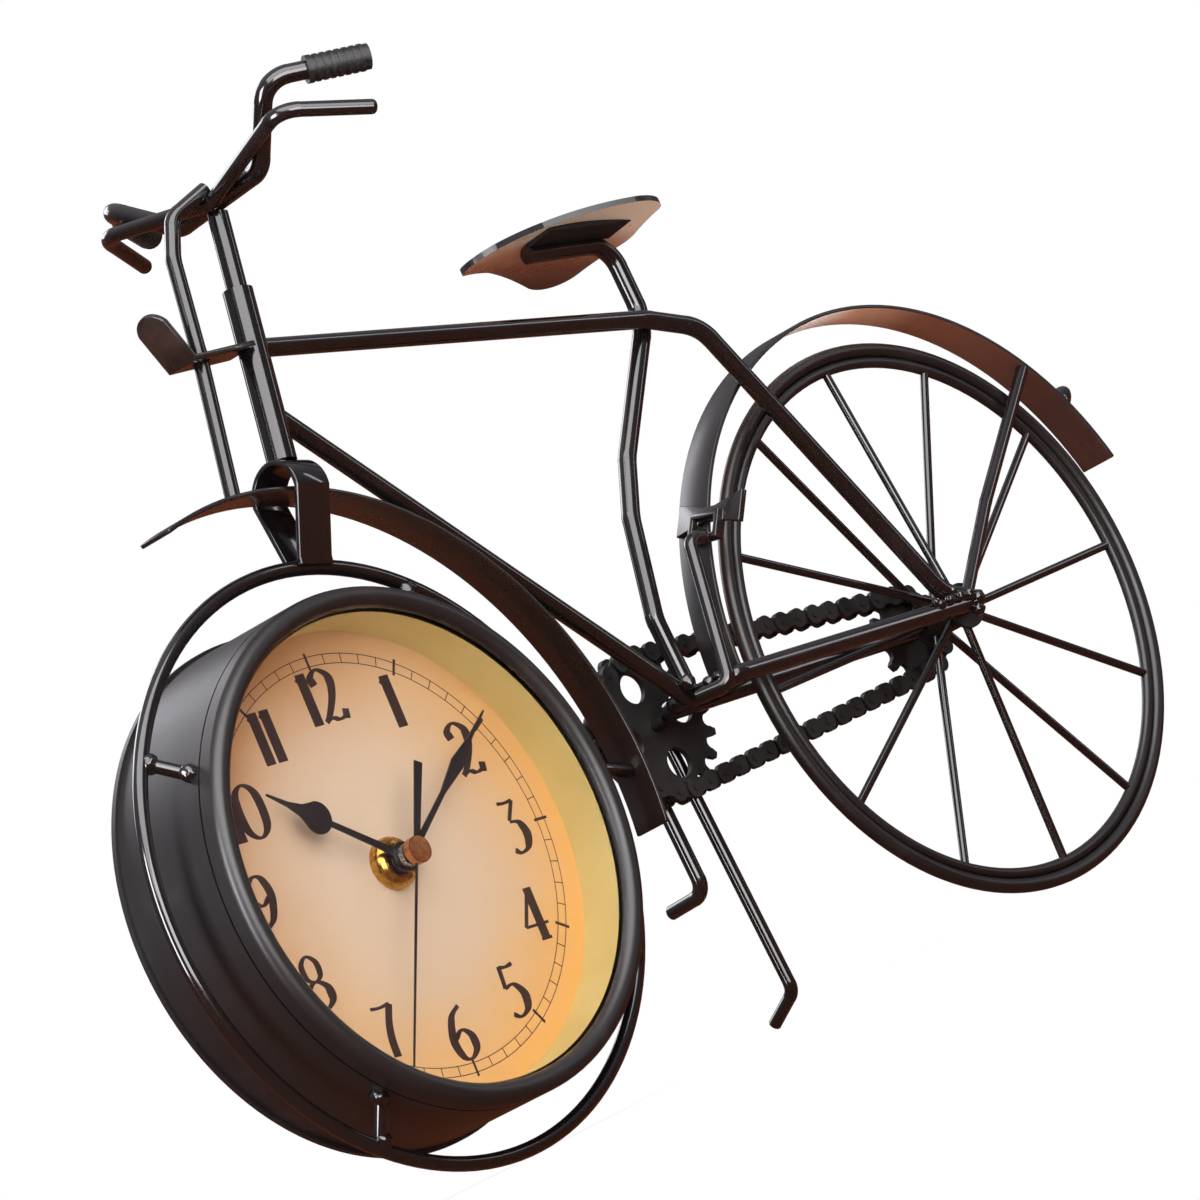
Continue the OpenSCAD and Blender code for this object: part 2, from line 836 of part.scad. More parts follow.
module inner_link(length) {
    w = chain_inner_w / 2;
    difference() {
        union() {
            translate([0, 0, w]) link_plate(length);
            translate([0, 0, -w - link_t]) link_plate(length);
            for (x = [0, length])
                translate([x, 0, -w]) cylinder(d = roller_d, h = chain_inner_w);
        }
        for (x = [0, length])
            translate([x, 0, -2 * chain_inner_w]) cylinder(r = pin_r + running_gap, h = 4 * chain_inner_w);
    }
}

module outer_link(length) {
    w = chain_inner_w / 2 + link_t + link_gap;
    pin_over = 0.3;
    translate([0, 0, w]) link_plate(length);
    translate([0, 0, -w - link_t]) link_plate(length);
    for (x = [0, length])
        translate([x, 0, -w - link_t - pin_over]) cylinder(r = pin_r, h = 2 * (w + link_t + pin_over));
}

// Places a link that starts at roller number i
module at_roller(i) {
    a = chain_point(i * chain_pitch);
    b = chain_point(((i + 1) % chain_links) * chain_pitch);
    translate([a.x, a.y, 0]) rotate([0, 0, atan2(b.y - a.y, b.x - a.x)]) children();
}

function link_length(i) =
    norm(chain_point(((i + 1) % chain_links) * chain_pitch) - chain_point(i * chain_pitch));

module chain_inner_links() {
    color([0.08, 0.07, 0.07]) chain_frame() for (i = [0 : 2 : chain_links - 1])
        at_roller(i) inner_link(link_length(i));
}

module chain_outer_links() {
    color([0.08, 0.07, 0.07]) chain_frame() for (i = [1 : 2 : chain_links - 1])
        at_roller(i) outer_link(link_length(i));
}

tooth_gap_r = roller_d / 2 + 0.12;
wheel_t = 1.6;

// A chain wheel's outline: a disc with a flared gap for each roller
module chain_wheel_outline(r, teeth, gap_angle, tip) {
    flare = 1.5;
    difference() {
        circle(r = r + tip);
        for (i = [0 : teeth - 1])
            rotate([0, 0, gap_angle + i * 360 / teeth]) translate([r, 0]) {
                circle(r = tooth_gap_r);
                polygon([
                    [0, -tooth_gap_r], [2 * flare, -tooth_gap_r - flare],
                    [2 * flare, tooth_gap_r + flare], [0, tooth_gap_r]
                ]);
            }
    }
}

sprocket_holes = 4;
sprocket_hole_r = 4.2;
sprocket_hole_at = 11.5;
sprocket_hole_turn = 12;
sprocket_tip = 1.8;
cog_tip = 1.6;
cog_turn = tangent + run_len / cog_r * 180 / PI;

module sprocket() {
    color(iron) chain_frame() translate([0, 0, -wheel_t / 2]) linear_extrude(wheel_t) difference() {
        chain_wheel_outline(sprocket_r, sprocket_teeth, tangent, sprocket_tip);
        for (i = [0 : sprocket_holes - 1])
            rotate([0, 0, sprocket_hole_turn + i * 360 / sprocket_holes])
                translate([sprocket_hole_at, 0]) circle(r = sprocket_hole_r);
        circle(d = crank_rod);
    }
}

module rear_cog() {
    color(iron) chain_frame() translate([chain_centres, 0, -wheel_t / 2])
        linear_extrude(wheel_t) difference() {
            chain_wheel_outline(cog_r, cog_teeth, cog_turn, cog_tip);
            circle(d = axle_d);
        }
}

crank_y = 25.3;
crank_bend = 4.5;
pedal_end_y = 39.5;

// The crank is one rod: shaft, arm and the stub that stands for the pedal
module crank() {
    color(iron) bent_rod([
        [sprocket_x, stay_far_y, sprocket_z],
        [sprocket_x, crank_y, sprocket_z],
        [sprocket_x - 1, crank_y, sprocket_z - crank_len],
        [sprocket_x - 1, pedal_end_y, sprocket_z - crank_len - 0.6]
    ], crank_bend, crank_rod);
}

stand_y = 21.3;
stand_x = 8;
foot_rise = 7.5;
foot_out = 11.5;
stand_bend = 4;

module kickstand() {
    color(iron) bent_rod([
        [sprocket_x + crank_rod / 4, stand_y, sprocket_z],
        [sprocket_x + stand_x, stand_y, sprocket_z - 5],
        [sprocket_x + stand_x, stand_y, foot_rise],
        [sprocket_x + stand_x, stand_y + foot_out, stand_rod / 2]
    ], stand_bend, stand_rod);
}

// Rear wheel

hub_near = -8.6;
hub_far = 6.8;
axle_near = -stay_y;
axle_far = chain_y + 2.6;

// The axle starts inside the near stays' ends and has a low head outside the cog
module rear_axle() {
    head_h = 1.6;
    head_out_d = axle_d + 2.4;
    color(iron) {
        rod(from_hub(0, axle_near, 0), from_hub(0, axle_far, 0), axle_d);
        rod(from_hub(0, axle_far, 0), from_hub(0, axle_far + head_h, 0), head_out_d);
    }
}

module rear_hub() {
    flange_t = 1.2;
    flange_d = hub_d + 3.4;
    color(iron) difference() {
        union() {
            rod(from_hub(0, hub_near, 0), from_hub(0, hub_far, 0), hub_d);
            rod(from_hub(0, hub_near, 0), from_hub(0, hub_near + flange_t, 0), flange_d);
            rod(from_hub(0, hub_far - flange_t, 0), from_hub(0, hub_far, 0), flange_d);
        }
        rod(from_hub(0, hub_near - 1, 0), from_hub(0, hub_far + 1, 0), axle_d + 2 * running_gap);
    }
}

module tyre_hoop() {
    color([0.03, 0.03, 0.03]) across(wheel_base, hub_z) hoop(tyre_r, tyre_rod);
}

module rim_hoop() {
    color(iron) across(wheel_base, hub_z) hoop(rim_r, rim_rod);
}

spoke_turn = 1;
spoke_spread = 5;

module rear_spokes() {
    root_r = hub_d / 4;
    color(iron) difference() {
        for (i = [0 : spoke_count - 1]) {
            angle = spoke_turn + i * 360 / spoke_count;
            side = (i % 2 == 0) ? -1 : 1;
            root_y = (hub_near + hub_far) / 2 + side * spoke_spread;
            rod(
                from_hub(root_r * sin(angle), root_y, root_r * cos(angle)),
                from_hub(rim_r * sin(angle), 0, rim_r * cos(angle)),
                spoke_rod
            );
        }
        across(wheel_base, hub_z) hoop(rim_r, rim_rod);
        rod(from_hub(0, 2 * hub_near, 0), from_hub(0, 2 * hub_far, 0), hub_d);
    }
}

// Clock drum, in the clock's frame

bezel_mid_r = drum_r - bezel_round;
bezel_sheet = 1.1;
glass_over = 4.6;
glass_front = drum_front + glass_over;
glass_back = glass_front - glass_t;
dial_front = glass_back - dial_depth;
dial_t = 0.5;
dial_back = dial_front - dial_t;
ledge_w = 4;
ledge_t = 1;
lip = 1;
glass_r = drum_r - 2;
sleeve_t = 0.8;
sleeve_deep = 4;
// The inner ring's wall stands this far in from the drum's outside
liner_in = 6.3;
liner_r = drum_r - liner_in;

lip_t = 1.6;
ledge_lap = 0.2;

// The band has a rolled lip behind and two ledges inside, for the dial and for the back cover
module drum_shell() {
    inner = drum_r - drum_sheet;
    cover_seat = -drum_back + drum_sheet;
    color(iron) clock_frame() difference() {
        union() {
            flat_ring(drum_r, inner, -drum_back, drum_front);
            flat_ring(drum_r + lip, inner, -drum_back, -drum_back + lip_t);
            flat_ring(inner + ledge_lap, inner - ledge_w, dial_back - ledge_t, dial_back);
            flat_ring(inner + ledge_lap, inner - ledge_w, cover_seat, cover_seat + ledge_t);
        }
        cover_screw_places() cylinder(r = screw_r, h = screw_cut, center = true);
    }
}

bezel_seam = 0.6;
glass_play = 0.1;

// A hollow rounded rim that closes on the glass, a skirt down to the drum and a sleeve that slides into it
module bezel() {
    sleeve_out = drum_r - drum_sheet;
    sleeve_back = drum_front - sleeve_deep;
    color(iron) clock_frame() rotate_extrude() difference() {
        union() {
            translate([bezel_mid_r, glass_front]) circle(r = bezel_round);
            translate([drum_r - bezel_sheet, drum_front + bezel_seam])
                square([bezel_sheet, glass_front - drum_front - bezel_seam]);
            translate([sleeve_out - sleeve_t, sleeve_back])
                square([sleeve_t, glass_front - 1 - sleeve_back]);
        }
        translate([bezel_mid_r, glass_front]) circle(r = bezel_round - bezel_sheet);
        translate([bezel_mid_r - 2 * bezel_round, glass_front - 2 * bezel_round])
            square([glass_r + glass_play - bezel_mid_r + 2 * bezel_round, 2 * bezel_round]);
    }
}

module glass() {
    color([0.85, 0.9, 0.9, 0.25]) clock_frame() translate([0, 0, glass_back])
        cylinder(r = glass_r, h = glass_t);
}

liner_t = 1;

module liner_ring() {
    color([0.92, 0.82, 0.5]) clock_frame() flat_ring(liner_r + liner_t, liner_r, dial_front, glass_back);
}

bush_r = 4;
bush_gap = 0.1;
dial_play = 1;
dial_r = drum_r - drum_sheet - dial_play;

module dial() {
    color([0.96, 0.8, 0.62]) clock_frame() translate([0, 0, dial_back]) difference() {
        cylinder(r = dial_r, h = dial_t);
        translate([0, 0, -bore_cut]) cylinder(r = bush_r + bush_gap, h = dial_t + 2 * bore_cut);
    }
}

screw_r = 1;
screw_cut = 10;
screw_count = 4;
screw_turn = 45;

module cover_screw_places() {
    for (i = [0 : screw_count - 1])
        rotate([0, 0, screw_turn + i * 360 / screw_count])
            translate([drum_r - drum_sheet - ledge_w / 2, 0, -drum_back])
                children();
}

window_w = case_w + 4;
cover_play = 0.1;

module back_cover() {
    color(iron) clock_frame() translate([0, 0, -drum_back]) difference() {
        cylinder(r = drum_r - drum_sheet - cover_play, h = drum_sheet);
        translate([-window_w / 2, -window_w / 2, -bore_cut])
            cube([window_w, window_w, drum_sheet + 2 * bore_cut]);
        translate([0, 0, drum_back]) cover_screw_places()
            cylinder(r = screw_r, h = screw_cut, center = true);
    }
}

module cover_screws() {
    head_r = 1.8;
    head_h = 0.9;
    slot_w = 0.5;
    slot_deep = 0.4;
    color([0.6, 0.6, 0.58]) clock_frame() cover_screw_places() {
        cylinder(r = screw_r, h = drum_sheet + ledge_t);
        translate([0, 0, -head_h]) difference() {
            cylinder(r = head_r, h = head_h);
            translate([-slot_w / 2, -2 * head_r, slot_deep - bore_cut]) cube([slot_w, 4 * head_r, bore_cut]);
        }
    }
}

// Quartz movement, in the clock's frame

case_front_z = dial_back;
case_back_z = case_front_z - case_t;
case_wall = 1.2;
case_split = case_front_z - 6.4;
bush_top = dial_front + 3.4;
nut_h = 3.9;
hour_pipe_r = 2.5;
minute_r = 1.6;
second_r = 0.5;
pipe_gap = 0.1;
// Long enough to bore any of the pipes right through
pipe_cut = 30;

battery_side_gap = 0.5;
battery_gap = 0.3;
battery_y = -case_w / 2 + case_wall + battery_side_gap + battery_d / 2;
battery_z = case_front_z - case_wall - battery_gap - battery_d / 2;

knob_at = [9, 0];
third_at = [-6.8, 0];
intermediate_at = [2.4, 4.157];
rotor_at = [7.66, 6.07];

// A square tray with walls: its floor is behind and it opens to the front, or the other way round
module tray(back, front, floor_back) {
    half = case_w / 2;
    room = case_w - 2 * case_wall;
    room_back = floor_back ? back + case_wall : back - bore_cut;
    difference() {
        translate([-half, -half, back]) cube([case_w, case_w, front - back]);
        translate([-half + case_wall, -half + case_wall, room_back])
            cube([room, room, front - back - case_wall + bore_cut]);
    }
}

// A bearing cup for an arbor: a short post with a blind hole in its front
module bearing(at, back, front) {
    cup_wall = 0.8;
    cup_deep = 1;
    translate([at[0], at[1], back]) difference() {
        cylinder(r = arbor_r + cup_wall, h = front - back);
        translate([0, 0, front - back - cup_deep])
            cylinder(r = arbor_r + running_gap, h = cup_deep + bore_cut);
    }
}

module case_front() {
    color([0.08, 0.08, 0.08]) clock_frame() difference() {
        union() {
            tray(case_split, case_front_z, false);
            translate([0, 0, case_front_z - case_wall])
                cylinder(r = bush_r, h = bush_top - case_front_z + case_wall);
        }
        translate([0, 0, case_front_z - 2 * case_wall]) cylinder(r = hour_pipe_r + pipe_gap, h = pipe_cut);
    }
}

bay_end_gap = 1.2;
bay_half = battery_len / 2 + bay_end_gap;
cup_h = 1.2;
knob_arbor_r = 1;

module case_back() {
    floor_z = case_back_z + case_wall;
    color([0.1, 0.1, 0.1]) clock_frame() difference() {
        union() {
            tray(case_back_z, case_split, true);
            bearing(third_at, floor_z, third_z - third_arbor + cup_lap);
            bearing(intermediate_at, floor_z, floor_z + cup_h);
            bearing(rotor_at, floor_z, floor_z + cup_h);
        }
        translate([-bay_half, -case_w / 2 + case_wall, case_back_z - bore_cut])
            cube([2 * bay_half, battery_d + 1, case_wall + 2 * bore_cut]);
        translate([knob_at[0], knob_at[1], case_back_z - bore_cut])
            cylinder(r = knob_arbor_r + running_gap, h = case_wall + 2 * bore_cut);
    }
}

module battery() {
    nub_r = 2.6;
    nub_h = 1;
    color([0.2, 0.2, 0.22]) clock_frame()
        translate([-battery_len / 2, battery_y, battery_z]) rotate([0, 90, 0]) {
            cylinder(d = battery_d, h = battery_len - nub_h);
            cylinder(r = nub_r, h = battery_len);
        }
}

module battery_contacts() {
    contact_t = 0.3;
    contact_w = 8;
    gap = battery_len / 2 + contact_t;
    color([0.75, 0.75, 0.72]) clock_frame() for (side = [-1, 1])
        translate([side > 0 ? battery_len / 2 : -gap, battery_y - contact_w / 2, battery_z - contact_w / 2])
            cube([contact_t, contact_w, contact_w]);
}

core_at = [3, 19];
core_half = 14;
coil_half = 9;

// The winding on its bobbin, with a slot for the core bar
module coil() {
    flange_t = 0.8;
    flange_h = 0.6;
    wire_r = 3;
    color([0.72, 0.4, 0.2]) clock_frame()
        translate([core_at[0], core_at[1], stator_z]) rotate([0, 90, 0]) difference() {
            union() {
                cylinder(r = wire_r, h = 2 * coil_half, center = true);
                for (side = [-1, 1])
                    translate([0, 0, side * coil_half])
                        cylinder(r = wire_r + flange_h, h = flange_t, center = true);
            }
            cube([stator_t, core_w, 4 * coil_half], center = true);
        }
}

stator_z = dial_front - 10.1;
stator_t = 0.8;
core_w = 3;
arm_w = 4;
rotor_r = 2.6;
rotor_h = 2.8;

// Two soft-iron arms that meet round the rotor, with the core bar through the coil
module stator() {
    right = core_at[0] + core_half;
    left = core_at[0] - core_half;
    low = 6;
    high = core_at[1] + core_w / 2;
    pole_gap = 0.5;
    pole_w = 1.5;
    arbor_room = 2;
    wheel_room = 1.6;
    color([0.6, 0.6, 0.62]) clock_frame() translate([0, 0, stator_z - stator_t / 2])
        linear_extrude(stator_t) difference() {
            union() {
                translate([left, low]) square([right - left, arm_w]);
                translate([left, low]) square([arm_w, high - low]);
                translate([right - arm_w, low]) square([arm_w, high - low]);
                translate([left, high - core_w]) square([right - left, core_w]);
                translate(rotor_at) circle(r = rotor_r + pole_gap + pole_w);
            }
            translate(rotor_at) circle(r = rotor_r + pole_gap);
            circle(r = arbor_room);
            translate(intermediate_at) circle(r = wheel_room);
        }
}

// The board with its round chip cover and its crystal
module circuit_board() {
    board = [14, 18, 0.8];
    crystal = [6, 2.4, 1.6];
    color([0.1, 0.3, 0.15]) clock_frame() translate([-26, 7, stator_z - 3]) {
        cube(board);
        translate([4, 6, board.z]) cylinder(r = 2.4, h = 0.8);
        translate([2, 12, board.z]) cube(crystal);
    }
}

// A toothed wheel: straight-flanked teeth with room between them
module gear(teeth, pitch_r, thickness, bore) {
    tooth = 2 * pitch_r / teeth;
    tip = pitch_r + 0.7 * tooth;
    root = pitch_r - tooth;
    step = 360 / teeth;
    root_half = 0.29 * step;
    tip_half = 0.09 * step;
    linear_extrude(thickness) difference() {
        polygon([for (i = [0 : teeth - 1]) each [
            on_circle(root, (i * step) - root_half),
            on_circle(tip, (i * step) - tip_half),
            on_circle(tip, (i * step) + tip_half),
            on_circle(root, (i * step) + root_half)
        ]]);
        if (bore > 0) circle(r = bore);
    }
}

// Turns a gear at the end of a centre line so that its gap faces the other's tooth
module meshed_gear(at, other_turn, other_teeth, teeth, pitch_r, thickness, bore) {
    line = atan2(at[1], at[0]);
    phase = (line - other_turn) * other_teeth / 360;
    translate([at[0], at[1], 0])
        rotate([0, 0, line + 180 + (phase - floor(phase) + 0.5) * 360 / teeth])
            gear(teeth, pitch_r, thickness, bore);
}

arbor_r = 0.4;
motion_centres = norm(knob_at);
cannon_teeth = 12;
setting_teeth = 36;
setting_pinion_teeth = 10;
hour_teeth = 40;
cannon_r = motion_centres * cannon_teeth / (cannon_teeth + setting_teeth);
setting_r = motion_centres - cannon_r;
setting_pinion_r = motion_centres * setting_pinion_teeth / (setting_pinion_teeth + hour_teeth);
hour_r = motion_centres - setting_pinion_r;

hour_wheel_z = case_front_z - 2.7;
cannon_z = hour_wheel_z - 2.2;
setting_z = cannon_z + 0.2;
centre_z = cannon_z - 1.6;
third_z = centre_z - 2.4;
second_wheel_z = third_z - 2.6;
intermediate_z = second_wheel_z - 1.6;

hour_hand_z = dial_front + 5.5;
minute_hand_z = dial_front + 8.8;
second_hand_z = dial_front + 10.5;
pipe_over = 0.6;
collar_r = 3;
collar_gap = 0.3;
hand_t = 0.5;
thin_wheel = 0.8;

module hour_wheel() {
    color(wheel_plastic) clock_frame() difference() {
        union() {
            translate([0, 0, hour_wheel_z]) gear(hour_teeth, hour_r, 1, 0);
            translate([0, 0, hour_wheel_z])
                cylinder(r = hour_pipe_r, h = hour_hand_z + pipe_over - hour_wheel_z);
        }
        translate([0, 0, hour_wheel_z - 1]) cylinder(r = minute_r + pipe_gap, h = pipe_cut);
    }
}

cannon_t = 1.6;

// The arbor's pipe carries the cannon pinion behind and a collar that the minute hand stands on
module minute_arbor() {
    pipe_back = centre_z - 0.6;
    collar_back = hour_hand_z + pipe_over + collar_gap;
    color([0.75, 0.62, 0.3]) clock_frame() difference() {
        union() {
            translate([0, 0, cannon_z]) gear(cannon_teeth, cannon_r, cannon_t, 0);
            translate([0, 0, pipe_back]) cylinder(r = minute_r, h = minute_hand_z + pipe_over - pipe_back);
            translate([0, 0, collar_back]) cylinder(r = collar_r, h = minute_hand_z - hand_t - collar_back);
        }
        translate([0, 0, pipe_back - 1]) cylinder(r = second_r + pipe_gap, h = pipe_cut);
    }
}

// The minute wheel, its pinion for the hour wheel, its arbor and the knurled knob behind the case
module setting_knob() {
    knob_r = 5.2;
    knob_h = 2.6;
    knob_gap = 0.4;
    knurls = 18;
    knurl_r = 0.5;
    knob_back = case_back_z - knob_gap - knob_h;
    arbor_back = case_back_z - knob_gap - 0.2;
    color([0.1, 0.1, 0.1]) clock_frame() {
        translate([0, 0, setting_z])
            meshed_gear(knob_at, 0, cannon_teeth, setting_teeth, setting_r, 1, 0);
        translate([0, 0, setting_z + 0.9])
            meshed_gear(knob_at, 0, hour_teeth, setting_pinion_teeth, setting_pinion_r, 2.4, 0);
        translate([knob_at[0], knob_at[1], arbor_back])
            cylinder(r = knob_arbor_r, h = setting_z - arbor_back);
        translate([knob_at[0], knob_at[1], knob_back]) difference() {
            cylinder(r = knob_r, h = knob_h);
            for (i = [0 : knurls - 1])
                rotate([0, 0, i * 360 / knurls])
                    translate([knob_r + 0.2, 0, -bore_cut]) cylinder(r = knurl_r, h = knob_h + 2 * bore_cut);
        }
    }
}

// Every pinion of the train has as many teeth
train_teeth = 8;
third_teeth = 60;
centre_teeth = 64;
second_teeth = 40;
intermediate_teeth = 48;
third_centres = norm(third_at);
second_pinion_r = third_centres * train_teeth / (train_teeth + third_teeth);
third_r = third_centres - second_pinion_r;
third_pinion_r = third_centres * train_teeth / (train_teeth + centre_teeth);
centre_r = third_centres - third_pinion_r;
intermediate_centres = norm(intermediate_at);
intermediate_pinion_r = intermediate_centres * train_teeth / (train_teeth + second_teeth);
second_wheel_r = intermediate_centres - intermediate_pinion_r;
rotor_centres = norm(rotor_at - intermediate_at);
rotor_pinion_r = rotor_centres * train_teeth / (train_teeth + intermediate_teeth);
intermediate_r = rotor_centres - rotor_pinion_r;

pinion_lap = 0.3;
third_arbor = 1.2;
cup_lap = 0.3;

module centre_wheel() {
    color(wheel_plastic) clock_frame() translate([0, 0, centre_z])
        gear(centre_teeth, centre_r, thin_wheel, minute_r + running_gap);
}

module third_wheel() {
    pinion_h = centre_z - third_z + pinion_lap;
    color(wheel_plastic) clock_frame() {
        translate([0, 0, third_z])
            meshed_gear(third_at, 0, train_teeth, third_teeth, third_r, thin_wheel, 0);
        translate([0, 0, third_z + thin_wheel])
            meshed_gear(third_at, 0, centre_teeth, train_teeth, third_pinion_r, pinion_h, 0);
        translate([third_at[0], third_at[1], third_z - third_arbor])
            cylinder(r = arbor_r, h = third_arbor + 0.2);
    }
}

module second_wheel() {
    pinion_h = third_z - second_wheel_z + pinion_lap;
    color(wheel_plastic) clock_frame() {
        translate([0, 0, second_wheel_z]) gear(second_teeth, second_wheel_r, thin_wheel, 0);
        translate([0, 0, second_wheel_z + thin_wheel - 0.01])
            gear(train_teeth, second_pinion_r, pinion_h, 0);
        translate([0, 0, second_wheel_z])
            cylinder(r = second_r, h = second_hand_z + pipe_over - second_wheel_z);
    }
}

short_pinion = 1.4;
arbor_back_gap = 0.3;

module intermediate_wheel() {
    color(wheel_plastic) clock_frame() {
        translate([0, 0, second_wheel_z - pinion_lap])
            meshed_gear(
                intermediate_at, 0, second_teeth, train_teeth, intermediate_pinion_r, short_pinion, 0
            );
        translate([intermediate_at[0], intermediate_at[1], intermediate_z])
            gear(intermediate_teeth, intermediate_r, thin_wheel, 0);
        translate([intermediate_at[0], intermediate_at[1], case_back_z + case_wall + arbor_back_gap])
            cylinder(r = arbor_r, h = second_wheel_z - case_back_z - case_wall);
    }
}

module rotor() {
    to_rotor = rotor_at - intermediate_at;
    color([0.3, 0.3, 0.32]) clock_frame() {
        translate([intermediate_at[0], intermediate_at[1], intermediate_z - 0.2])
            meshed_gear(to_rotor, 0, intermediate_teeth, train_teeth, rotor_pinion_r, short_pinion, 0);
        translate([rotor_at[0], rotor_at[1], stator_z - rotor_h / 2]) cylinder(r = rotor_r, h = rotor_h);
        translate([rotor_at[0], rotor_at[1], case_back_z + case_wall + arbor_back_gap])
            cylinder(r = arbor_r, h = stator_z + 1 - case_back_z - case_wall);
    }
}

// Nut on the threaded bush that clamps the movement to the dial
module shaft_nut() {
    nut_r = 7;
    nut_round = 3;
    steps = 8;
    color([0.8, 0.62, 0.28]) clock_frame() translate([0, 0, dial_front]) rotate_extrude() polygon(concat(
        [[bush_r, 0], [nut_r, 0]],
        [for (i = [0 : steps]) let (a = 90 * i / steps)
            [nut_r - nut_round * (1 - cos(a)), nut_h - nut_round * (1 - sin(a))]],
        [[bush_r, nut_h]]
    ));
}

// Hands, in the clock's frame

minute_angle = dial_turn + minute * 6;
hour_angle = dial_turn + (hour + minute / 60) * 30;
second_angle = dial_turn + second * 6;

// A hand's collar that grips an arbor, behind the hand and flush with the pipe's end
module collar(r_out, r_in, hand_z) {
    flat_ring(r_out, r_in, hand_z - hand_t, hand_z + pipe_over);
}

// The taper from the bulb to the tip is drawn in, so that the tip is very thin
module hour_hand() {
    bulb_at = 28;
    bulb_r = 4.4;
    color(hand_black) clock_frame() {
        collar(4, hour_pipe_r, hour_hand_z);
        rotate([0, 0, -hour_angle]) translate([0, 0, hour_hand_z]) linear_extrude(hand_t) difference() {
            union() {
                polygon([[-1.1, 0], [-0.7, bulb_at], [0.7, bulb_at], [1.1, 0]]);
                translate([0, bulb_at]) circle(r = bulb_r);
                polygon([
                    [-3.6, bulb_at + 2.4], [-1.7, bulb_at + 5.4], [-0.7, bulb_at + 9.6], [-0.2, hour_reach],
                    [0.2, hour_reach], [0.7, bulb_at + 9.6], [1.7, bulb_at + 5.4], [3.6, bulb_at + 2.4]
                ]);
            }
            circle(r = hour_pipe_r);
        }
    }
}

module minute_hand() {
    belly = 0.625 * minute_reach;
    belly_from = 0.42 * minute_reach;
    belly_to = 0.81 * minute_reach;
    color(hand_black) clock_frame() {
        collar(2.9, minute_r, minute_hand_z);
        rotate([0, 0, -minute_angle]) translate([0, 0, minute_hand_z]) linear_extrude(hand_t) difference() {
            polygon([
                [-0.9, 0], [-0.7, belly_from], [-2, belly], [-0.6, belly_to], [-0.2, minute_reach],
                [0.2, minute_reach], [0.6, belly_to], [2, belly], [0.7, belly_from], [0.9, 0]
            ]);
            circle(r = minute_r);
        }
    }
}

module second_hand() {
    weight_len = 25;
    cap_r = 3.6;
    cap_back = second_hand_z - 0.8;
    cap_h = 2.3;
    hole_deep = 1.4;
    sheet = 0.3;
    color(hand_black) clock_frame() difference() {
        union() {
            translate([0, 0, cap_back]) cylinder(r = cap_r, h = cap_h);
            rotate([0, 0, -second_angle]) translate([0, 0, second_hand_z - 0.1])
                linear_extrude(sheet) polygon([
                    [-1.3, -weight_len], [-0.9, 0], [-0.4, 0.5], [-0.25, second_reach],
                    [0.25, second_reach], [0.4, 0.5], [0.9, 0], [1.3, -weight_len]
                ]);
        }
        translate([0, 0, cap_back - bore_cut]) cylinder(r = second_r, h = hole_deep + bore_cut);
    }
}

front_ring();
ring_pins();
fork_strap();
head_tube();
steerer();
handlebar();
handlebar_grips();
brake_lever_bar();
front_brake_rod();
lamp_bracket();
top_tube_and_stay();
down_tube();
seat_tube();
saddle_plate();
saddle();
chain_stays();
front_fender();
front_fender_bridge();
rear_fender();
fender_stay();
tail_light();
brake_plate();
rear_brake_rod();
sprocket();
crank();
kickstand();
rear_axle();
rear_cog();
chain_inner_links();
chain_outer_links();
tyre_hoop();
rim_hoop();
rear_spokes();
rear_hub();
drum_shell();
bezel();
glass();
liner_ring();
dial();
back_cover();
cover_screws();
case_front();
case_back();
battery();
battery_contacts();
coil();
stator();
circuit_board();
rotor();
intermediate_wheel();
third_wheel();
centre_wheel();
second_wheel();
second_hand();
minute_arbor();
minute_hand();
hour_wheel();
hour_hand();
setting_knob();
shaft_nut();
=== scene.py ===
# %% [markdown]
# # A desk clock in the form of a bicycle
# The object is bent and welded iron rod, painted glossy black, with a round drum clock hung in the front
# ring. The rods, the wheel and the clockwork come from the construction model, so this lesson gives them
# their finishes, adds the small things that a construction model leaves out, and sets the light and the
# camera.

# %% Load the frame
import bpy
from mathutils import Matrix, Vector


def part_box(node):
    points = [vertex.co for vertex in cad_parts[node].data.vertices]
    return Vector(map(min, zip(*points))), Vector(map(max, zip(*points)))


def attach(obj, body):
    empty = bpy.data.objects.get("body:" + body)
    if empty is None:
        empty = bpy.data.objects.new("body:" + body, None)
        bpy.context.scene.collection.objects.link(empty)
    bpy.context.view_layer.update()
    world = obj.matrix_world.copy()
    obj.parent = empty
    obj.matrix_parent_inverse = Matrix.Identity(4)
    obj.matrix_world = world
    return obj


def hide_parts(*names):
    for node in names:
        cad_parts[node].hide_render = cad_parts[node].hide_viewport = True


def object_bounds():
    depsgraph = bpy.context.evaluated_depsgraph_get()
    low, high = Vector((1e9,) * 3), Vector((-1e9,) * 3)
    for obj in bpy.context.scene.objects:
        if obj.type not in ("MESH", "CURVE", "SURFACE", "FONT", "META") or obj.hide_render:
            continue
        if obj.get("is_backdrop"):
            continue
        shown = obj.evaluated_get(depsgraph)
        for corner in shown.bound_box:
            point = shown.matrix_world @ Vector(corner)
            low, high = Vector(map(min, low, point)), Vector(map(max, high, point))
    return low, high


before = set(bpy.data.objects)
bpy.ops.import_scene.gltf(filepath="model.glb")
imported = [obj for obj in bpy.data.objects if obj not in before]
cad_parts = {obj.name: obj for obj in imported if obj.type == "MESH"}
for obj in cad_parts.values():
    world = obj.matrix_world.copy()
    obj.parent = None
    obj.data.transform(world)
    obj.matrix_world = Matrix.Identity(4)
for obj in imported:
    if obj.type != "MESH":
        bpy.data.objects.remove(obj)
box_at_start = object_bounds()
print("nodes", len(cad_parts))
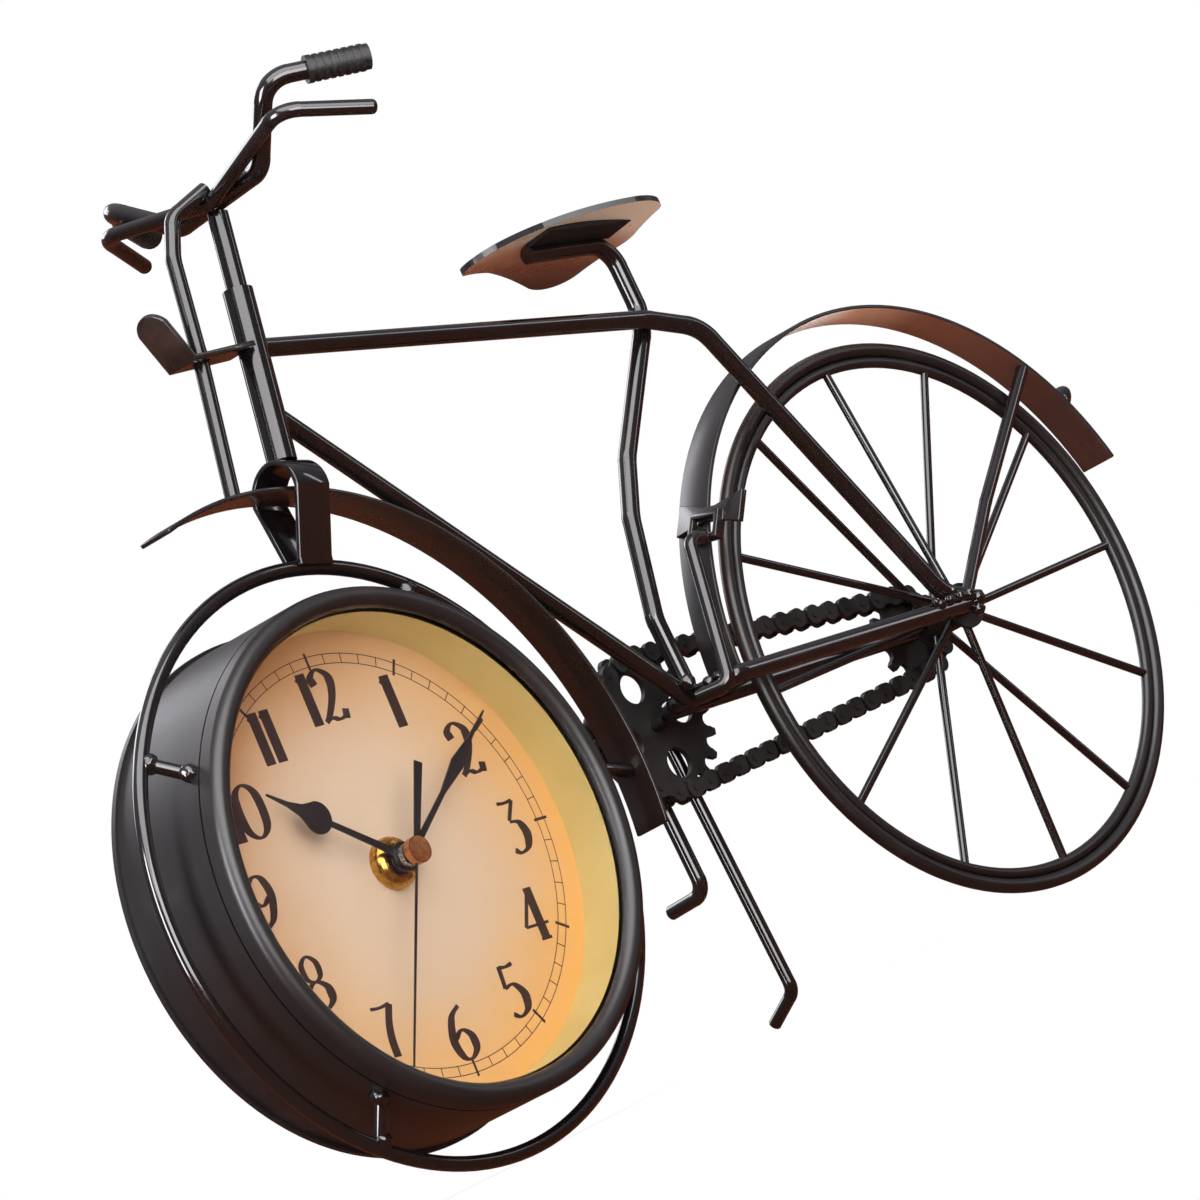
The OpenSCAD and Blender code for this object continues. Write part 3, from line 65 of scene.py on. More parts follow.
for corner in box_at_start:
    print("box corner", [round(v, 4) for v in corner])

# %% [markdown]
# Everything is in metres, and most sizes below are easier to read in millimetres, so one constant converts
# them. The places that several steps share are named once: the centre of the front ring, the plane of the
# dial and the hub of the rear wheel. They are read from the boxes of the construction model where a box
# says it directly.

# %% Shared names and places
import math
import bmesh
import bpy
from mathutils import Matrix, Vector, noise

MM = 0.001
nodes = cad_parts


def middle(node):
    low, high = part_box(node)
    return (Vector(low) + Vector(high)) / 2


ring_centre = middle("front_ring")
hub_centre = middle("rear_hub")
dial_low, dial_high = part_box("dial")
dial_face_y = dial_low[1]
dial_radius = (dial_high[0] - dial_low[0]) / 2
print("ring centre", [round(v, 4) for v in ring_centre])
print("dial face at y", round(dial_face_y, 5), "radius", round(dial_radius, 4))

# %% [markdown]
# A material is a small network of nodes, and a few short helpers keep the networks readable. add() makes a
# node and sets it up: a name that starts with in_ is a socket, by its name or its number, and any other
# name is a setting. ramp() makes a colour ramp, mix() lays one colour over another through a mask, and
# remap() stretches a number from one range to another. Patterns are placed by object_place(), the point's
# place on the object in metres, so that they stay where they are when the object is seen from another side.
# Colours are picked as they look on a screen, and the shader wants linear light, so linear() converts them.

# %% Small helpers for node networks
# The sockets that a Mix node uses for colours
MIX_FACTOR = 0
MIX_BELOW = 6
MIX_ABOVE = 7
MIX_RESULT = 2


def linear(red, green, blue):
    channels = []
    for value in (red, green, blue):
        shown = value / 255
        channels.append(shown / 12.92 if shown <= 0.04045 else ((shown + 0.055) / 1.055) ** 2.4)
    return (*channels, 1.0)


def add(tree, kind, **settings):
    node = tree.nodes.new(kind)
    for name, value in settings.items():
        if name.startswith("in_"):
            key = name[3:]
            node.inputs[int(key) if key.isdigit() else key.replace("_", " ")].default_value = value
        else:
            setattr(node, name, value)
    return node


def ramp(tree, stops):
    node = tree.nodes.new("ShaderNodeValToRGB")
    elements = node.color_ramp.elements
    while len(elements) < len(stops):
        elements.new(0.5)
    for element, (position, colour) in zip(elements, stops):
        element.position = position
        element.color = colour
    return node


def mix(tree, mask, below, above):
    node = add(tree, "ShaderNodeMix", data_type="RGBA")
    tree.links.new(mask, node.inputs[MIX_FACTOR])
    tree.links.new(below, node.inputs[MIX_BELOW])
    tree.links.new(above, node.inputs[MIX_ABOVE])
    return node.outputs[MIX_RESULT]


def remap(tree, value, start, end, new_start=0.0, new_end=1.0, **settings):
    node = add(tree, "ShaderNodeMapRange", in_From_Min=start, in_From_Max=end, in_To_Min=new_start,
               in_To_Max=new_end, **settings)
    tree.links.new(value, node.inputs["Value"])
    return node.outputs["Result"]


def object_place(tree):
    return add(tree, "ShaderNodeTexCoord").outputs["Object"]


def new_material(name):
    material = bpy.data.materials.new(name)
    material.use_nodes = True
    material.node_tree.nodes.clear()
    return material, material.node_tree


def new_group(name, inputs, outputs):
    group = bpy.data.node_groups.new(name, "ShaderNodeTree")
    for label, kind, value in inputs:
        socket = group.interface.new_socket(label, in_out="INPUT", socket_type=kind)
        socket.default_value = value
    for label, kind in outputs:
        group.interface.new_socket(label, in_out="OUTPUT", socket_type=kind)
    return group, add(group, "NodeGroupInput"), add(group, "NodeGroupOutput")


def use_group(tree, group, **values):
    node = add(tree, "ShaderNodeGroup", node_tree=group)
    for name, value in values.items():
        node.inputs[name.replace("_", " ")].default_value = value
    return node


print("helpers ready, middle grey is", round(linear(128, 128, 128)[0], 3))

# %% [markdown]
# ## The paint's skin
# Paint on bent iron is never quite even. It has slow waves from the bending, a fine orange peel, and places
# where dust and handling made it paler and duller. All three could be painted on by hand, but there are
# over thirty painted pieces, so noise makes them. One group does it for every painted piece, and each
# finish gives it its own two colours and two roughnesses.

# %% Group: uneven paint
PEEL_SHARE = 0.03


def make_paint_skin():
    group, inside, outside = new_group(
        "Paint Skin",
        [("Base", "NodeSocketColor", (0.012, 0.010, 0.010, 1)),
         ("Worn", "NodeSocketColor", (0.05, 0.03, 0.02, 1)),
         ("Gloss", "NodeSocketFloat", 0.16),
         ("Dull", "NodeSocketFloat", 0.34)],
        [("Color", "NodeSocketColor"), ("Roughness", "NodeSocketFloat"), ("Height", "NodeSocketFloat")],
    )
    link = group.links.new
    place = object_place(group)
    waves = add(group, "ShaderNodeTexNoise", in_Scale=70.0, in_Detail=2.0)
    peel = add(group, "ShaderNodeTexNoise", in_Scale=900.0, in_Detail=3.0)
    wear = add(group, "ShaderNodeTexNoise", in_Scale=38.0, in_Detail=6.0, in_Roughness=0.65)
    for texture in (waves, peel, wear):
        link(place, texture.inputs["Vector"])

    # Where the wear noise is high the paint is paler and duller
    worn = ramp(group, [(0.56, (0, 0, 0, 1)), (0.78, (1, 1, 1, 1))])
    link(wear.outputs["Fac"], worn.inputs["Fac"])
    colour = mix(group, worn.outputs["Color"], inside.outputs["Base"], inside.outputs["Worn"])
    link(colour, outside.inputs["Color"])
    rough = add(group, "ShaderNodeMapRange", in_From_Min=0.3, in_From_Max=0.75)
    link(wear.outputs["Fac"], rough.inputs["Value"])
    link(inside.outputs["Gloss"], rough.inputs["To Min"])
    link(inside.outputs["Dull"], rough.inputs["To Max"])
    link(rough.outputs["Result"], outside.inputs["Roughness"])

    # The waves and a little of the peel make the relief
    fine = add(group, "ShaderNodeMath", operation="MULTIPLY", in_1=PEEL_SHARE)
    link(peel.outputs["Fac"], fine.inputs[0])
    height = add(group, "ShaderNodeMath", operation="ADD")
    link(waves.outputs["Fac"], height.inputs[0])
    link(fine.outputs[0], height.inputs[1])
    link(height.outputs[0], outside.inputs["Height"])
    return group


paint_skin = make_paint_skin()
print("group", paint_skin.name, len(paint_skin.nodes), "nodes")

# %% [markdown]
# ## Painted reflections on the undersides
# The underside of the saddle and the inside of the fenders aren't as dark as the rest. They get a painted
# reflection, reddish brown as if they mirrored a warm table, and a painted highlight near the top of the rear
# fender. The colour changes slowly along the piece. It is palest at the saddle's near edge and at the top of
# the rear fender, and nearly black at the other end. Such a painted reflection needs two things from the
# surface: a number that runs along the piece, which a colour ramp turns into a colour, and a mask of the
# faces that look down or inward. On a fender both are measured about the wheel's centre. Both fenders need
# that, so it is a group. The saddle is measured from its near to its far edge instead.

# %% Painted reflections on undersides
SWAY = 6 * MM


def make_fender_inside():
    group, inside, outside = new_group(
        "Fender Inside", [("Centre", "NodeSocketVector", (0.0, 0.0, 0.0))],
        [("Along", "NodeSocketFloat"), ("Inward", "NodeSocketFloat")],
    )
    link = group.links.new
    centred = add(group, "ShaderNodeVectorMath", operation="SUBTRACT")
    link(object_place(group), centred.inputs[0])
    link(inside.outputs["Centre"], centred.inputs[1])

    # The angle about the centre: 0 where it is level with it in front, 0.5 at the top, 1 level with it behind
    parts = add(group, "ShaderNodeSeparateXYZ")
    turn = add(group, "ShaderNodeMath", operation="ARCTAN2")
    link(centred.outputs[0], parts.inputs[0])
    link(parts.outputs["X"], turn.inputs[0])
    link(parts.outputs["Z"], turn.inputs[1])
    link(remap(group, turn.outputs[0], -math.pi / 2, math.pi / 2), outside.inputs["Along"])

    # The faces that look toward the centre
    outward = add(group, "ShaderNodeVectorMath", operation="NORMALIZE")
    surface = add(group, "ShaderNodeNewGeometry")
    facing = add(group, "ShaderNodeVectorMath", operation="DOT_PRODUCT")
    link(centred.outputs[0], outward.inputs[0])
    link(surface.outputs["True Normal"], facing.inputs[0])
    link(outward.outputs[0], facing.inputs[1])
    link(remap(group, facing.outputs["Value"], -0.4, -0.7), outside.inputs["Inward"])
    return group


fender_inside = make_fender_inside()


def inside_fender(tree, centre):
    measured = use_group(tree, fender_inside, Centre=centre)
    return measured.outputs["Along"], measured.outputs["Inward"]


# The saddle's number runs from its near edge to its far edge, with a slow sway that keeps the change from
# being a straight line, and its mask takes the faces that look down
def under_saddle(tree, box):
    link = tree.links.new
    low, high = box
    place = object_place(tree)
    parts = add(tree, "ShaderNodeSeparateXYZ")
    cloud = add(tree, "ShaderNodeTexNoise", in_Scale=60.0, in_Detail=2.0)
    swayed = add(tree, "ShaderNodeMath", operation="MULTIPLY_ADD", in_1=SWAY)
    link(place, parts.inputs[0])
    link(place, cloud.inputs["Vector"])
    link(cloud.outputs["Fac"], swayed.inputs[0])
    link(parts.outputs["Y"], swayed.inputs[2])
    across = remap(tree, swayed.outputs[0], low[1] + SWAY / 2, high[1] + SWAY / 2)

    surface = add(tree, "ShaderNodeNewGeometry")
    normal = add(tree, "ShaderNodeSeparateXYZ")
    link(surface.outputs["True Normal"], normal.inputs[0])
    downward = remap(tree, normal.outputs["Z"], -0.35, -0.6)
    return across, downward


print("group", fender_inside.name, len(fender_inside.nodes), "nodes")

# %% [markdown]
# ## Painted iron
# The paint is nearly black with a warm tint, and what makes the rods visible is what they mirror. The rods
# are glossy: a clear coat over the base gives the sharp highlight of varnish on top of the softer one of
# the paint. The strip, the drum and the hoops are duller, with less coat or a rougher one, and the chain
# has none. One function makes them all. A piece with a painted reflection on its underside also passes
# what measures it, where, and the colours along it.

# %% Materials: painted iron
PAINT_IOR = 1.55
PAINT_RELIEF = 0.6 * MM


def painted(name, base, worn, gloss, dull, coat=0.6, coat_rough=0.07, bump=0.05, underside_reflection=None):
    material, tree = new_material(name)
    link = tree.links.new
    out = add(tree, "ShaderNodeOutputMaterial")
    shader = add(tree, "ShaderNodeBsdfPrincipled", in_IOR=PAINT_IOR,
                 in_Coat_Weight=coat, in_Coat_Roughness=coat_rough)
    skin = use_group(tree, paint_skin, Base=base, Worn=worn, Gloss=gloss, Dull=dull)
    relief = add(tree, "ShaderNodeBump", in_Strength=bump, in_Distance=PAINT_RELIEF)
    colour = skin.outputs["Color"]
    # The painted reflection on an underside is laid over the paint's own colour through its mask
    if underside_reflection:
        measure, where, stops = underside_reflection
        along, mask = measure(tree, where)
        tint = ramp(tree, stops)
        link(along, tint.inputs["Fac"])
        colour = mix(tree, mask, colour, tint.outputs["Color"])
    link(colour, shader.inputs["Base Color"])
    link(skin.outputs["Roughness"], shader.inputs["Roughness"])
    link(skin.outputs["Height"], relief.inputs["Height"])
    link(relief.outputs["Normal"], shader.inputs["Normal"])
    link(shader.outputs[0], out.inputs["Surface"])
    return material


# Painted reflections of a warm table, and a near-white painted highlight at the top of the rear fender
saddle_painted_reflection = (under_saddle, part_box("saddle"), [
    (0.0, linear(184, 160, 138)), (0.42, linear(172, 142, 118)), (0.56, linear(138, 90, 66)),
    (0.78, linear(88, 48, 34)), (1.0, linear(36, 20, 15))])
rear_fender_painted_reflection = (inside_fender, tuple(hub_centre), [
    (0.1, linear(206, 104, 64)), (0.35, linear(216, 160, 126)), (0.51, linear(232, 214, 200)),
    (0.57, linear(176, 122, 94)), (0.66, linear(104, 56, 36)), (0.85, linear(56, 30, 23))])
front_fender_painted_reflection = (inside_fender, tuple(ring_centre), [
    (0.0, linear(78, 46, 32)), (0.5, linear(48, 30, 22)), (1.0, linear(30, 19, 15))])

black_iron = painted("black iron", linear(13, 11, 11), linear(28, 22, 20), 0.1, 0.2)
drum_iron = painted("drum iron", linear(16, 13, 13), linear(36, 27, 25), 0.38, 0.47,
                    coat=0.25, coat_rough=0.35, bump=0.03)
strip_iron = painted("strip iron", linear(20, 16, 14), linear(44, 32, 27), 0.2, 0.34,
                     coat=0.4, bump=0.07)
front_strip = painted("front fender iron", linear(17, 14, 12), linear(36, 27, 23), 0.22, 0.36,
                      coat=0.3, bump=0.07, underside_reflection=front_fender_painted_reflection)
rear_strip = painted("rear fender iron", linear(20, 17, 16), linear(52, 46, 42), 0.32, 0.44,
                     coat=0.15, coat_rough=0.3, bump=0.07, underside_reflection=rear_fender_painted_reflection)
saddle_iron = painted("saddle iron", linear(16, 14, 14), linear(34, 30, 28), 0.22, 0.36, underside_reflection=saddle_painted_reflection)
chain_steel = painted("chain steel", linear(12, 10, 9), linear(34, 27, 24), 0.42, 0.62,
                      coat=0.0, bump=0.14)
hoop_iron = painted("hoop iron", linear(15, 12, 12), linear(32, 25, 23), 0.34, 0.46,
                    coat=0.15, coat_rough=0.2)
# Painted shade: a darker, matt black for the saddle plate, partly plate, partly shadow and dark reflection
saddle_plate_shade_black = painted("saddle plate shade black", linear(8, 7, 7), linear(16, 13, 12), 0.6, 0.75, coat=0.0, bump=0.1)
print("painted materials", [material.name for material in bpy.data.materials])

# %% [markdown]
# ## Rubber, brass, steel and plastic
# The grips are dull moulded rubber. The clock's nut is lacquered brass, the cap on the hands is copper
# coloured, and the collar under it is bare steel. Inside the drum there is a plastic quartz movement with
# its battery. None of these is perfectly even, as casting, turning and moulding leave a fine grain. One
# group makes the grain, and each finish runs its colour and its roughness between two values with it.

# %% Group: fine grain
def make_fine_grain():
    group, inside, outside = new_group(
        "Fine Grain", [("Scale", "NodeSocketFloat", 900.0)],
        [("Fac", "NodeSocketFloat"), ("Height", "NodeSocketFloat")],
    )
    link = group.links.new
    grain = add(group, "ShaderNodeTexNoise", in_Detail=2.0)
    link(object_place(group), grain.inputs["Vector"])
    link(inside.outputs["Scale"], grain.inputs["Scale"])
    link(remap(group, grain.outputs["Fac"], 0.3, 0.7), outside.inputs["Fac"])
    link(grain.outputs["Fac"], outside.inputs["Height"])
    return group


fine_grain = make_fine_grain()
print("group", fine_grain.name, len(fine_grain.nodes), "nodes")

# %% Materials: rubber, metals and plastics
GRAIN_RELIEF = 0.2 * MM


def plain_finish(name, dark, light, smooth, rough, metallic=0.0, scale=900.0, bump=0.05):
    material, tree = new_material(name)
    link = tree.links.new
    out = add(tree, "ShaderNodeOutputMaterial")
    shader = add(tree, "ShaderNodeBsdfPrincipled", in_Metallic=metallic)
    grain = use_group(tree, fine_grain, Scale=scale)
    tint = ramp(tree, [(0.0, dark), (1.0, light)])
    relief = add(tree, "ShaderNodeBump", in_Strength=bump, in_Distance=GRAIN_RELIEF)
    link(grain.outputs["Fac"], tint.inputs["Fac"])
    link(tint.outputs["Color"], shader.inputs["Base Color"])
    link(remap(tree, grain.outputs["Fac"], 0.0, 1.0, smooth, rough), shader.inputs["Roughness"])
    link(grain.outputs["Height"], relief.inputs["Height"])
    link(relief.outputs["Normal"], shader.inputs["Normal"])
    link(shader.outputs[0], out.inputs["Surface"])
    return material


rubber = plain_finish("grip rubber", linear(12, 12, 12), linear(26, 24, 24), 0.38, 0.55, bump=0.2)
brass = plain_finish("lacquered brass", linear(168, 122, 52), linear(214, 172, 92), 0.16, 0.3, metallic=1.0)
copper = plain_finish("copper cap", linear(176, 108, 62), linear(206, 142, 92), 0.3, 0.45, metallic=0.9)
steel = plain_finish("bare steel", linear(150, 150, 156), linear(196, 196, 200), 0.2, 0.34, metallic=1.0)
zinc = plain_finish("zinc plate", linear(120, 120, 118), linear(170, 170, 166), 0.3, 0.45, metallic=1.0)
hand_black = plain_finish("blackened hands", linear(18, 14, 18), linear(34, 26, 30), 0.28, 0.42, bump=0.03)
case_plastic = plain_finish("movement case", linear(22, 22, 23), linear(38, 38, 39), 0.4, 0.55, scale=400.0)
wheel_plastic = plain_finish("white gear plastic", linear(196, 194, 184), linear(218, 216, 206), 0.35, 0.5)
enamel_wire = plain_finish("coil wire", linear(140, 66, 30), linear(190, 104, 52), 0.3, 0.45,
                           metallic=0.6, scale=2500.0)
board_green = plain_finish("circuit board", linear(20, 74, 40), linear(34, 96, 54), 0.35, 0.5)
battery_skin = plain_finish("battery skin", linear(52, 54, 58), linear(74, 76, 80), 0.25, 0.4, metallic=0.4)
print("finishes", len(bpy.data.materials))

# %% [markdown]
# ## Glass, the cream wall and the dial
# The glass is a plain flat disc with a faint smear. Behind it runs a cream painted wall, and the dial is
# printed paper whose colour goes from peach in the middle to orange at the edge. At the edge it also carries
# painted light and shade: browner at the upper left, in the shade of the wall, and more yellow at the lower
# right, where the light falls. The distance from the dial's centre gives the first change, and the position
# along a slanted line gives the second. Clouds of noise push the first change to and fro and mottle the
# middle, which keeps the paper from looking like plastic.

# %% Material: glass
SMEAR_ROUGHNESS = 0.03


def make_glass():
    material, tree = new_material("clock glass")
    out = add(tree, "ShaderNodeOutputMaterial")
    shader = add(tree, "ShaderNodeBsdfPrincipled", in_Transmission_Weight=1.0, in_IOR=1.45)
    smear = add(tree, "ShaderNodeTexNoise", in_Scale=45.0, in_Detail=4.0)
    tint = ramp(tree, [(0.0, (1, 1, 1, 1)), (1.0, (0.985, 0.99, 0.985, 1))])
    link = tree.links.new
    link(object_place(tree), smear.inputs["Vector"])
    link(smear.outputs["Fac"], tint.inputs["Fac"])
    link(remap(tree, smear.outputs["Fac"], 0.55, 0.9, 0.0, SMEAR_ROUGHNESS), shader.inputs["Roughness"])
    link(tint.outputs["Color"], shader.inputs["Base Color"])
    link(shader.outputs[0], out.inputs["Surface"])
    return material


clock_glass = make_glass()
print("made", clock_glass.name)

# %% Materials: dial, wall and ink
# The edge's colour starts to show at the first distance from the centre and is full at the second
EDGE_START = 18 * MM
EDGE_FULL = 64 * MM
EDGE_SWAY = 10 * MM
# The painted shade's slanted line runs from upper left to lower right, this far to each side of the centre
LIGHT_SLANT = (0.75, 0.0, -0.66)
LIGHT_SLANT_REACH = 62 * MM


def make_dial_paper():
    material, tree = new_material("dial paper")
    link = tree.links.new
    out = add(tree, "ShaderNodeOutputMaterial")
    shader = add(tree, "ShaderNodeBsdfPrincipled", in_Roughness=0.6)
    place = object_place(tree)
    dial_centre = (ring_centre.x, dial_face_y, ring_centre.z)
    centred = add(tree, "ShaderNodeVectorMath", operation="SUBTRACT", in_1=dial_centre)
    cloud = add(tree, "ShaderNodeTexNoise", in_Scale=26.0, in_Detail=5.0, in_Roughness=0.6)
    link(place, centred.inputs[0])
    link(place, cloud.inputs["Vector"])

    # From the middle to the edge
    size = add(tree, "ShaderNodeVectorMath", operation="LENGTH")
    reach = add(tree, "ShaderNodeMath", operation="ADD")
    link(centred.outputs[0], size.inputs[0])
    link(size.outputs["Value"], reach.inputs[0])
    link(remap(tree, cloud.outputs["Fac"], 0.25, 0.75, -EDGE_SWAY, EDGE_SWAY), reach.inputs[1])
    edge = remap(tree, reach.outputs[0], EDGE_START, EDGE_FULL, interpolation_type="SMOOTHSTEP")

    # Painted shade at the upper left, painted light at the lower right
    light_slant = add(tree, "ShaderNodeVectorMath", operation="DOT_PRODUCT", in_1=LIGHT_SLANT)
    edge_light_and_shade = ramp(tree, [
        (0.0, linear(200, 136, 80)),
        (0.45, linear(242, 196, 142)),
        (1.0, linear(250, 190, 104)),
    ])
    link(centred.outputs[0], light_slant.inputs[0])
    link(remap(tree, light_slant.outputs["Value"], -LIGHT_SLANT_REACH, LIGHT_SLANT_REACH), edge_light_and_shade.inputs["Fac"])

    heart = ramp(tree, [(0.3, linear(240, 212, 178)), (0.7, linear(246, 222, 194))])
    link(cloud.outputs["Fac"], heart.inputs["Fac"])
    paper = mix(tree, edge, heart.outputs["Color"], edge_light_and_shade.outputs["Color"])
    link(paper, shader.inputs["Base Color"])
    link(shader.outputs[0], out.inputs["Surface"])
    return material


dial_paper = make_dial_paper()
cream_wall = plain_finish("cream wall", linear(228, 212, 140), linear(238, 224, 156), 0.35, 0.5,
                          scale=60.0, bump=0.02)
ink = plain_finish("printing ink", linear(46, 26, 26), linear(66, 40, 36), 0.5, 0.65, scale=1500.0, bump=0.02)
print("made", dial_paper.name, cream_wall.name, ink.name)

# %% [markdown]
# ## Finishes go on the construction model
# Each piece keeps its shape and gets one of the finishes. A list of names for each finish says it all, and
# the print at the end reports any piece that was forgotten.

# %% Assign the materials
finish_of = {}
for material, names in (
    (black_iron, "front_ring ring_pins head_tube steerer handlebar brake_lever_bar front_brake_rod "
                 "top_tube_and_stay down_tube seat_tube chain_stays front_fender_bridge fender_stay "
                 "rear_brake_rod crank kickstand rear_axle rear_spokes fork_strap tail_light"),
    (saddle_plate_shade_black, "saddle_plate"),
    (strip_iron, "lamp_bracket brake_plate"),
    (front_strip, "front_fender"),
    (rear_strip, "rear_fender"),
    (saddle_iron, "saddle"),
    (hoop_iron, "tyre_hoop rim_hoop"),
    (chain_steel, "chain_inner_links chain_outer_links sprocket rear_cog rear_hub"),
    (drum_iron, "drum_shell bezel back_cover"),
    (rubber, "handlebar_grips"),
    (clock_glass, "glass"),
    (cream_wall, "liner_ring"),
    (dial_paper, "dial"),
    (hand_black, "second_hand minute_hand hour_hand"),
    (brass, "shaft_nut minute_arbor"),
    (zinc, "cover_screws battery_contacts stator rotor"),
    (case_plastic, "case_front case_back setting_knob"),
    (wheel_plastic, "intermediate_wheel third_wheel centre_wheel second_wheel hour_wheel"),
    (enamel_wire, "coil"),
    (board_green, "circuit_board"),
    (battery_skin, "battery"),
):
    for name in names.split():
        finish_of[name] = material
for name, piece in nodes.items():
    if not piece.material_slots:
        piece.data.materials.append(None)
    for slot in piece.material_slots:
        slot.material = finish_of[name]
print("finished", len(finish_of), "forgotten", sorted(set(nodes) - set(finish_of)))

# %% [markdown]
# ## Building small pieces
# The pieces that are added here are meshes made with bmesh. This helper turns a finished bmesh into an
# object that sits at the origin with its place in its mesh. It turns the faces outward, shades them smooth
# except across edges sharper than a limit, gives the piece a finish and lets it ride on a body of the
# clock.

# %% Helper: from bmesh to a piece
def finish_piece(name, mesh_data, material, body, sharp_at=40):
    bmesh.ops.recalc_face_normals(mesh_data, faces=mesh_data.faces)
    mesh = bpy.data.meshes.new(name)
    mesh_data.to_mesh(mesh)
    mesh_data.free()
    for face in mesh.polygons:
        face.use_smooth = True
    mesh.set_sharp_from_angle(angle=math.radians(sharp_at))
    mesh.materials.append(material)
    piece = bpy.data.objects.new(name, mesh)
    bpy.context.scene.collection.objects.link(piece)
    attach(piece, body)
    return piece


print("piece helper ready")

# %% [markdown]
# ## Softened edges on sheet and strip
# The construction model has knife-sharp edges where sheet and strip were cut. Real edges are filed and the
# paint rounds them further, and the thin bright line that this draws is what makes strip look like iron. So
# each of these pieces is rebuilt from its own shape: the loose triangles are merged, flat and gently curved
# stretches are cleaned up, and only the sharp edges get a small round. The rounded copy then stands in for
# the piece.

# %% Rounded copies
EDGE_ROUND = 0.3 * MM
MERGE_DISTANCE = 0.002 * MM
SAME_FACE = math.radians(0.5)
SHARP_CORNER = math.radians(50)


def soften(node):
    shape = bmesh.new()
    shape.from_mesh(nodes[node].data)
    bmesh.ops.remove_doubles(shape, verts=shape.verts, dist=MERGE_DISTANCE)
    bmesh.ops.dissolve_limit(shape, angle_limit=SAME_FACE, verts=shape.verts, edges=shape.edges)
    corners = [edge for edge in shape.edges if edge.is_manifold and edge.calc_face_angle() > SHARP_CORNER]
    bmesh.ops.bevel(shape, geom=corners, offset=EDGE_ROUND, offset_type="OFFSET", segments=2, profile=0.5,
                    affect="EDGES", clamp_overlap=True, material=-1)
    piece = finish_piece(node + "_rounded", shape, finish_of[node], "frame", sharp_at=35)
    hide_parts(node)
    return piece


STRIP_PIECES = ("fork_strap", "lamp_bracket", "brake_plate", "front_fender", "rear_fender",
                "front_fender_bridge")
for node in STRIP_PIECES:
    rounded = soften(node)
    print(rounded.name, len(rounded.data.polygons), "faces")

# %% [markdown]
# ## Printing on the dial
# The print is built as very thin solids on the paper, because geometry stays crisp at any distance. Two
# helpers make all of it. A band starts as a grid one cell wide, whose two rows of points are laid along two
# lines on the dial. A circle is a small rectangle spun about the dial's centre. The whole dial is turned a
# few degrees clockwise in its drum, as on the real clock, so places on it are given as right and up on the
# dial itself.

# %% Helpers: bands and circles on the dial
DIAL_TURN = math.radians(5.8)
PRINT_THICK = 0.04 * MM
PRINT_SINK = 0.01 * MM
PROFILE_MERGE = 0.001 * MM
dial_middle = Vector((ring_centre.x, 0.0, ring_centre.z))


def on_dial(right_by, up_by, lift=0.0):
    turned_x = right_by * math.cos(DIAL_TURN) + up_by * math.sin(DIAL_TURN)
    turned_z = up_by * math.cos(DIAL_TURN) - right_by * math.sin(DIAL_TURN)
    return Vector((ring_centre.x + turned_x, dial_face_y - lift, ring_centre.z + turned_z))


def printed_band(target, left, right, lift=0.0):
    grid = bmesh.ops.create_grid(target, x_segments=len(left) - 1, y_segments=1, size=1.0)
    for vert, point in zip(grid["verts"], left + right):
        vert.co = on_dial(*point, -PRINT_SINK)
    # The two ends of a closed band meet, and are joined
    bmesh.ops.remove_doubles(target, verts=grid["verts"], dist=PROFILE_MERGE)
    kept = [vert for vert in grid["verts"] if vert.is_valid]
    faces = list(dict.fromkeys(face for vert in kept for face in vert.link_faces))
    raised = bmesh.ops.extrude_face_region(target, geom=faces)["geom"]
    upper = [item for item in raised if isinstance(item, bmesh.types.BMVert)]
    bmesh.ops.translate(target, vec=(0.0, -(PRINT_SINK + PRINT_THICK + lift), 0.0), verts=upper)


# A profile is a list of distances from the dial's axis and out toward the viewer
def turned(target, profile, closed, steps=64):
    points = [target.verts.new(dial_middle + Vector((radius, -out, 0.0))) for radius, out in profile]
    lines = [target.edges.new(pair) for pair in zip(points, points[1:])]
    if closed:
        lines.append(target.edges.new((points[-1], points[0])))
    bmesh.ops.spin(target, geom=points + lines, cent=dial_middle, axis=(0, 1, 0), angle=2 * math.pi,
                   steps=steps, use_merge=True)
    bmesh.ops.remove_doubles(target, verts=target.verts, dist=PROFILE_MERGE)


print("dial turned by", round(math.degrees(DIAL_TURN), 1), "degrees")

# %% [markdown]
# ## The minute track
# The minute track is two thin circles with a tick for each minute between them, and a longer, heavier one
# at each hour. The ticks stand a hair higher than the circles, so that no two faces lie in one plane where
# they cross.

# %% The minute track
TRACK_INNER = 54.4 * MM
TRACK_OUTER = 57.0 * MM
LINE_WIDTH = 0.22 * MM
TICK_WIDTH = 0.25 * MM
TICK_LIFT = 0.005 * MM
HOUR_TICK_WIDTH = 0.75 * MM
HOUR_TICK_INWARD = 0.9 * MM
HOUR_TICK_OUTWARD = 1.1 * MM


def printed_circle(target, radius):
    inner = radius - LINE_WIDTH / 2
    outer = radius + LINE_WIDTH / 2
    low = -dial_face_y - PRINT_SINK
    high = -dial_face_y + PRINT_THICK
    turned(target, [(inner, low), (outer, low), (outer, high), (inner, high)], closed=True, steps=180)


def printed_tick(target, minute, inner, outer, width):
    angle = 2 * math.pi * minute / 60
    outward = Vector((math.sin(angle), math.cos(angle)))
    side = Vector((outward.y, -outward.x)) * width / 2
    left = [outward * inner - side, outward * outer - side]
    right = [outward * inner + side, outward * outer + side]
    printed_band(target, left, right, lift=TICK_LIFT)


